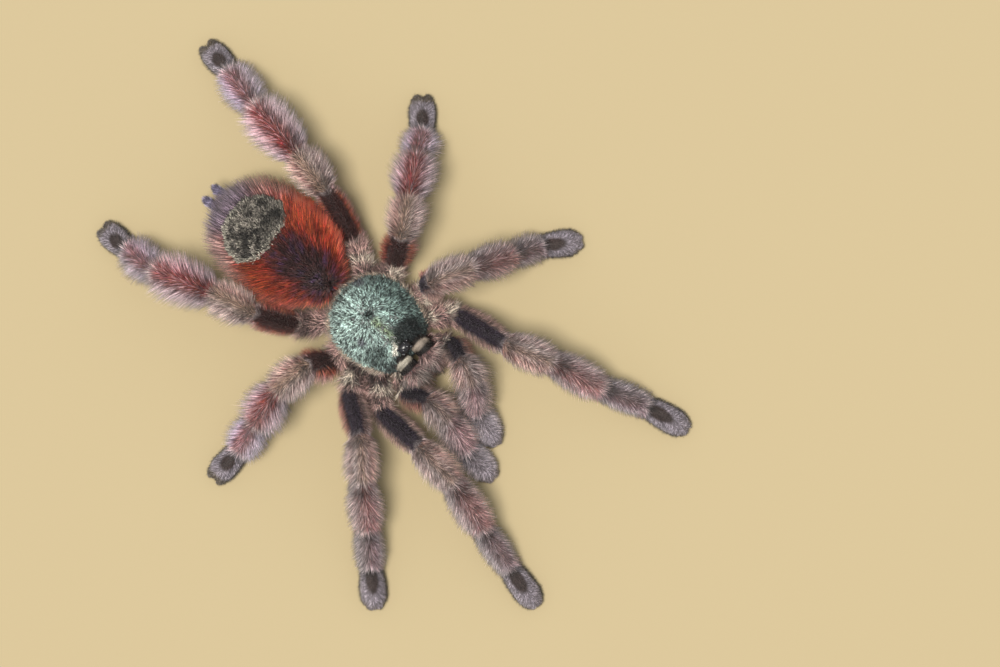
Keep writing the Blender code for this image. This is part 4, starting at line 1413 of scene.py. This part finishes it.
def carapaceMarks(points):
    x, forward = points[:, 0], -points[:, 1]
    share = np.hypot(points[:, 0], points[:, 1]) / carapaceOutline(np.arctan2(points[:, 1], points[:, 0]))

    def blot(across, ahead, wide, long, outer, inner):
        return between(outer, inner, np.hypot((x - across) / wide, (forward - ahead) / long))

    tip = shades["mint"][1] * np.ones((len(points), 1))
    stripe = ridge(x, 0, 0.8) * between(0.6, 1.6, forward) * between(8.6, 7.0, forward)
    for label, amount in (
        ("teal", between(-1.0, 6.0, x) * 0.55 + 0.1),
        ("moss", stripe * 0.75),
        # the black blot at her left front corner, the dark green blot at her right front corner and the
        # darkened front edge are painted shade on the head's steep front slopes
        ("shadeBlack", blot(2.6, 7.6, 3.4, 2.6, 1.2, 0.75) * 0.95),
        ("pine", blot(-5.0, 6.4, 2.4, 2.6, 1.2, 0.6) * 0.6),
        ("pine", blot(0.0, 0.0, 1.0, 1.0, 1.3, 0.4) * 0.9),
        ("shadeBlack", between(8.0, 9.6, forward) * 0.7),
        ("plum", blot(3.4, -5.6, 1.3, 1.3, 1.1, 0.6) * 0.8),
        ("plum", blot(-4.6, 2.6, 0.9, 0.9, 1.1, 0.6) * 0.8),
    ):
        tip = blended(tip, shades[label][1], amount)
    cloud = mottle(points * (1, 1, 0), 0.8, 7)
    # random cloudiness, then dimmed by almost half towards her left side: painted shade on the side turned from
    # the sun
    tip = tip * (0.45 + 0.95 * cloud[:, None]) * (1 - 0.48 * between(2.0, 6.5, x))[:, None]
    tip = blended(tip, shades["white"][1] * 1.3, crescentAt(x, forward))
    return blended(tip * 0.2, shades["pine"][0] * 0.6, 0.5), tip, share


def carapacePieces():
    points, faces = makeCarapace()
    root, tip, share = carapaceMarks(points)
    shell = meshOf("carapace_shell", inFrame(points), faces)
    setAttribute(shell, "rootColour", "FLOAT_COLOR", root * 0.6)
    facingOut(shell)
    cuticle = grainyMaterial("cuticle", 0.38, 0.5, 1800.0, 4.0, 0.3, 1.0, 0.5)
    addPiece("carapace_shell", shell, cuticle, "carapace", "carapace")

    upper = inFrame(points), faces[: carapace["spokes"] * (carapace["rounds"] + 1)]
    bed = meshOf("carapaceBed", *upper)
    x, forward = points[:, 0], -points[:, 1]
    radial = unit(points * (1, 1, 0) + (1e-6, 0, 0))
    reach, azimuth = np.hypot(x, points[:, 1]), np.arctan2(points[:, 1], x)
    crescent = crescentAt(x, forward)
    mound = between(1.25, 0.95, np.hypot(x / 1.45, (forward - 9.6) / 1.08))
    lie = lying(radial, readVectors(bed.vertex_normals, "vector"))
    lie = unit(blended(lie, np.array((*carapace["crescentLie"], 0.0)), crescent))
    length = (carapace["hairLength"] + 0.4 * between(0.4, 2.5, reach)) * (1 - 0.3 * between(0.93, 0.99, share))
    clumps = 0.3 + 1.2 * between(0.3, 0.62, mottle(points, 0.55, 12))
    thickness = np.maximum((1 - mound) * (1 - 0.6 * between(1.2, 0.3, reach)) * clumps, crescent * 5.0)
    wrap = (np.cos(azimuth), np.sin(azimuth), np.clip(share, 0, 1))
    pair = (blended(root, tip, crescent * 0.6), tip)
    groom = groomed(pair, lie, length, wrap, thickness, 1 - 0.55 * crescent, 1 - 0.75 * crescent)
    growOn("carapace_coat", bed, groom, "carapace", "carapaceHair", "carapace")

    around = np.cross(radial, (0, 0, 1.0)) * np.where(x > 0, -1.0, 1.0)[:, None]
    thickness = between(0.94, 0.98, share) * between(10.5, 8.5, forward)
    thickness = thickness * (0.35 + 0.65 * between(0.35, 0.6, mottle(points, 1.3, 20)))
    lie = unit(around + radial * 0.25)
    groom = groomed(lit("cream", 0.45, 1.1), lie, carapace["fringeLength"], wrap, thickness)
    growOn("carapace_fringe", meshOf("fringeBed", *upper), groom, "fringe", "hair", "carapace")


carapacePieces()

head = {
    "tubercle": (0.0, 9.6, 13.35),
    "halfSize": (1.46, 1.1, 0.98),
    "lensFrom": 13.55,  # the lenses face away from this height
    "sunk": 0.12,
    "lenses": {  # their radii
        "anterior_median": 0.30,
        "anterior_lateral": 0.30,
        "posterior_lateral": 0.27,
        "posterior_median": 0.20,
    },
}
fangs = {"length": 6.0, "height": 4.2, "sag": 0.5, "radius": 0.66, "tip": 0.03, "stations": 20, "sides": 16}


def ballMesh(name, centre, sizes, segments, rings):
    ball = bmesh.new()
    bmesh.ops.create_uvsphere(ball, u_segments=segments, v_segments=rings, radius=1.0)
    for vert in ball.verts:
        vert.co = Vector(inFrame(np.array(centre) + np.array(vert.co[:]) * sizes))
    mesh = bpy.data.meshes.new(name)
    ball.to_mesh(mesh)
    ball.free()
    return mesh


def glossyMaterial(name, colour, roughness, gloss, coat=0.0, coatRoughness=0.03):
    return newMaterial(
        name,
        Base_Color=(*colour, 1),
        Roughness=roughness,
        Specular_IOR_Level=gloss,
        Coat_Weight=coat,
        Coat_Roughness=coatRoughness,
    )[0]


def headPieces():
    lens = glossyMaterial("lens", (0.012, 0.011, 0.014), 0.06, 0.8, 0.6)
    mound = glossyMaterial("mound", (0.012, 0.011, 0.013), 0.3, 0.5)
    x, forward, z = head["tubercle"]
    ball = ballMesh("eye_mound", (x, -forward, z), head["halfSize"], 32, 20)
    addPiece("eye_mound", ball, mound, "dark_cuticle", "ocular_tubercle")
    for name, radius in head["lenses"].items():
        for side, _ in flanks:
            low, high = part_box(f"eye_{name}_{side}")
            centre = ((np.array(low) + np.array(high)) / 2 - fovea) / mm
            centre = centre - unit(centre - (x, -forward, head["lensFrom"])) * head["sunk"]
            ball = ballMesh(f"lens_{name}_{side}", centre, (radius, radius, radius), 24, 16)
            addPiece(f"lens_{name}_{side}", ball, lens, "eye", f"eye_{name}_{side}")


def fangPieces():
    horn = glossyMaterial("horn", (0.02, 0.009, 0.006), 0.18, 0.6, 0.4)
    share = np.linspace(0, 1, fangs["stations"])
    angles = np.linspace(0, 2 * np.pi, fangs["sides"], endpoint=False)[None, :, None]
    for side, outward in flanks:
        x = np.full(len(share), outward * jaws["side"])
        y = -jaws["rootForward"] - jaws["reach"] + fangs["length"] * share
        z = fangs["height"] - fangs["sag"] * np.sin(np.pi * share)
        stations = np.stack([x, y, z], 1)
        radii = fangs["radius"] * (1 - share) ** 0.7 + fangs["tip"]
        tube = Tube(side, share, stations, np.gradient(stations, axis=0), (1.0, 0.0, 0.0), radii, radii)
        ring = tube.sides[:, None] * np.cos(angles) + tube.ups[:, None] * np.sin(angles)
        rings = tube.centres[:, None] + ring * tube.widths[:, None, None]
        points, faces = inFrame(rings.reshape(-1, 3)), tubeFaces(len(share), fangs["sides"], 0)
        mesh = meshOf(f"fang_tooth_{side}", points, faces)
        facingOut(mesh)
        addPiece(f"fang_tooth_{side}", mesh, horn, "fang", f"fang_{side}")


print("the head")
headPieces()
fangPieces()

studio = {
    "floor": 0xA89978,
    "reach": 3.0,
    "sky": (0.92, 0.96, 1.0, 1),
    "skyStrength": 0.55,
    "sun": (1.0, 0.96, 0.9),
    "sunStrength": 4.3,
    "sunAngle": math.radians(20),
    "lens": 162.0,
    "sensor": 36.0,
    "height": 0.9,
    "lookAt": (14.54, -21.93, 0),
}
right, up = Vector((0.6628, -0.7488, 0)), Vector((0.7488, 0.6628, 0))  # the camera's own, along the floor


def stageScene():
    scene = bpy.context.scene
    scene.view_settings.view_transform = "Standard"
    reach = studio["reach"]
    corners = [(-reach, -reach, 0), (reach, -reach, 0), (reach, reach, 0), (-reach, reach, 0)]
    floorMesh = meshOf("floor", corners, [(0, 1, 2, 3)])
    floorMesh.materials.append(
        newMaterial("floor", Base_Color=(*tone(studio["floor"]), 1), Roughness=0.9, Specular_IOR_Level=0.15)[0]
    )
    linked("floor", floorMesh)
    scene.world = bpy.data.worlds.new("studio")
    scene.world.use_nodes = True
    sky = scene.world.node_tree.nodes["Background"]
    sky.inputs["Color"].default_value = studio["sky"]
    sky.inputs["Strength"].default_value = studio["skyStrength"]
    sun = bpy.data.lights.new("key", "SUN")
    sun.energy, sun.angle, sun.color = studio["sunStrength"], studio["sunAngle"], studio["sun"]
    lamp = linked("key", sun)
    towards = (right * -0.5 + up * -0.2 + Vector((0, 0, 3.2))).normalized()
    lamp.rotation_euler = towards.to_track_quat("Z", "Y").to_euler()
    lamp.location = towards
    eye = bpy.data.cameras.new("camera")
    eye.lens, eye.sensor_width = studio["lens"], studio["sensor"]
    eye.clip_start, eye.clip_end = 0.05, 10.0
    camera = linked("camera", eye)
    camera.location = Vector(fovea) + Vector(studio["lookAt"]) * mm + Vector((0, 0, studio["height"]))
    camera.rotation_euler = (0, 0, math.atan2(right.y, right.x))
    scene.camera = camera


stageScene()
print(f"coat: {sum(triangleCount.values())} triangles in {len(triangleCount)} pieces")
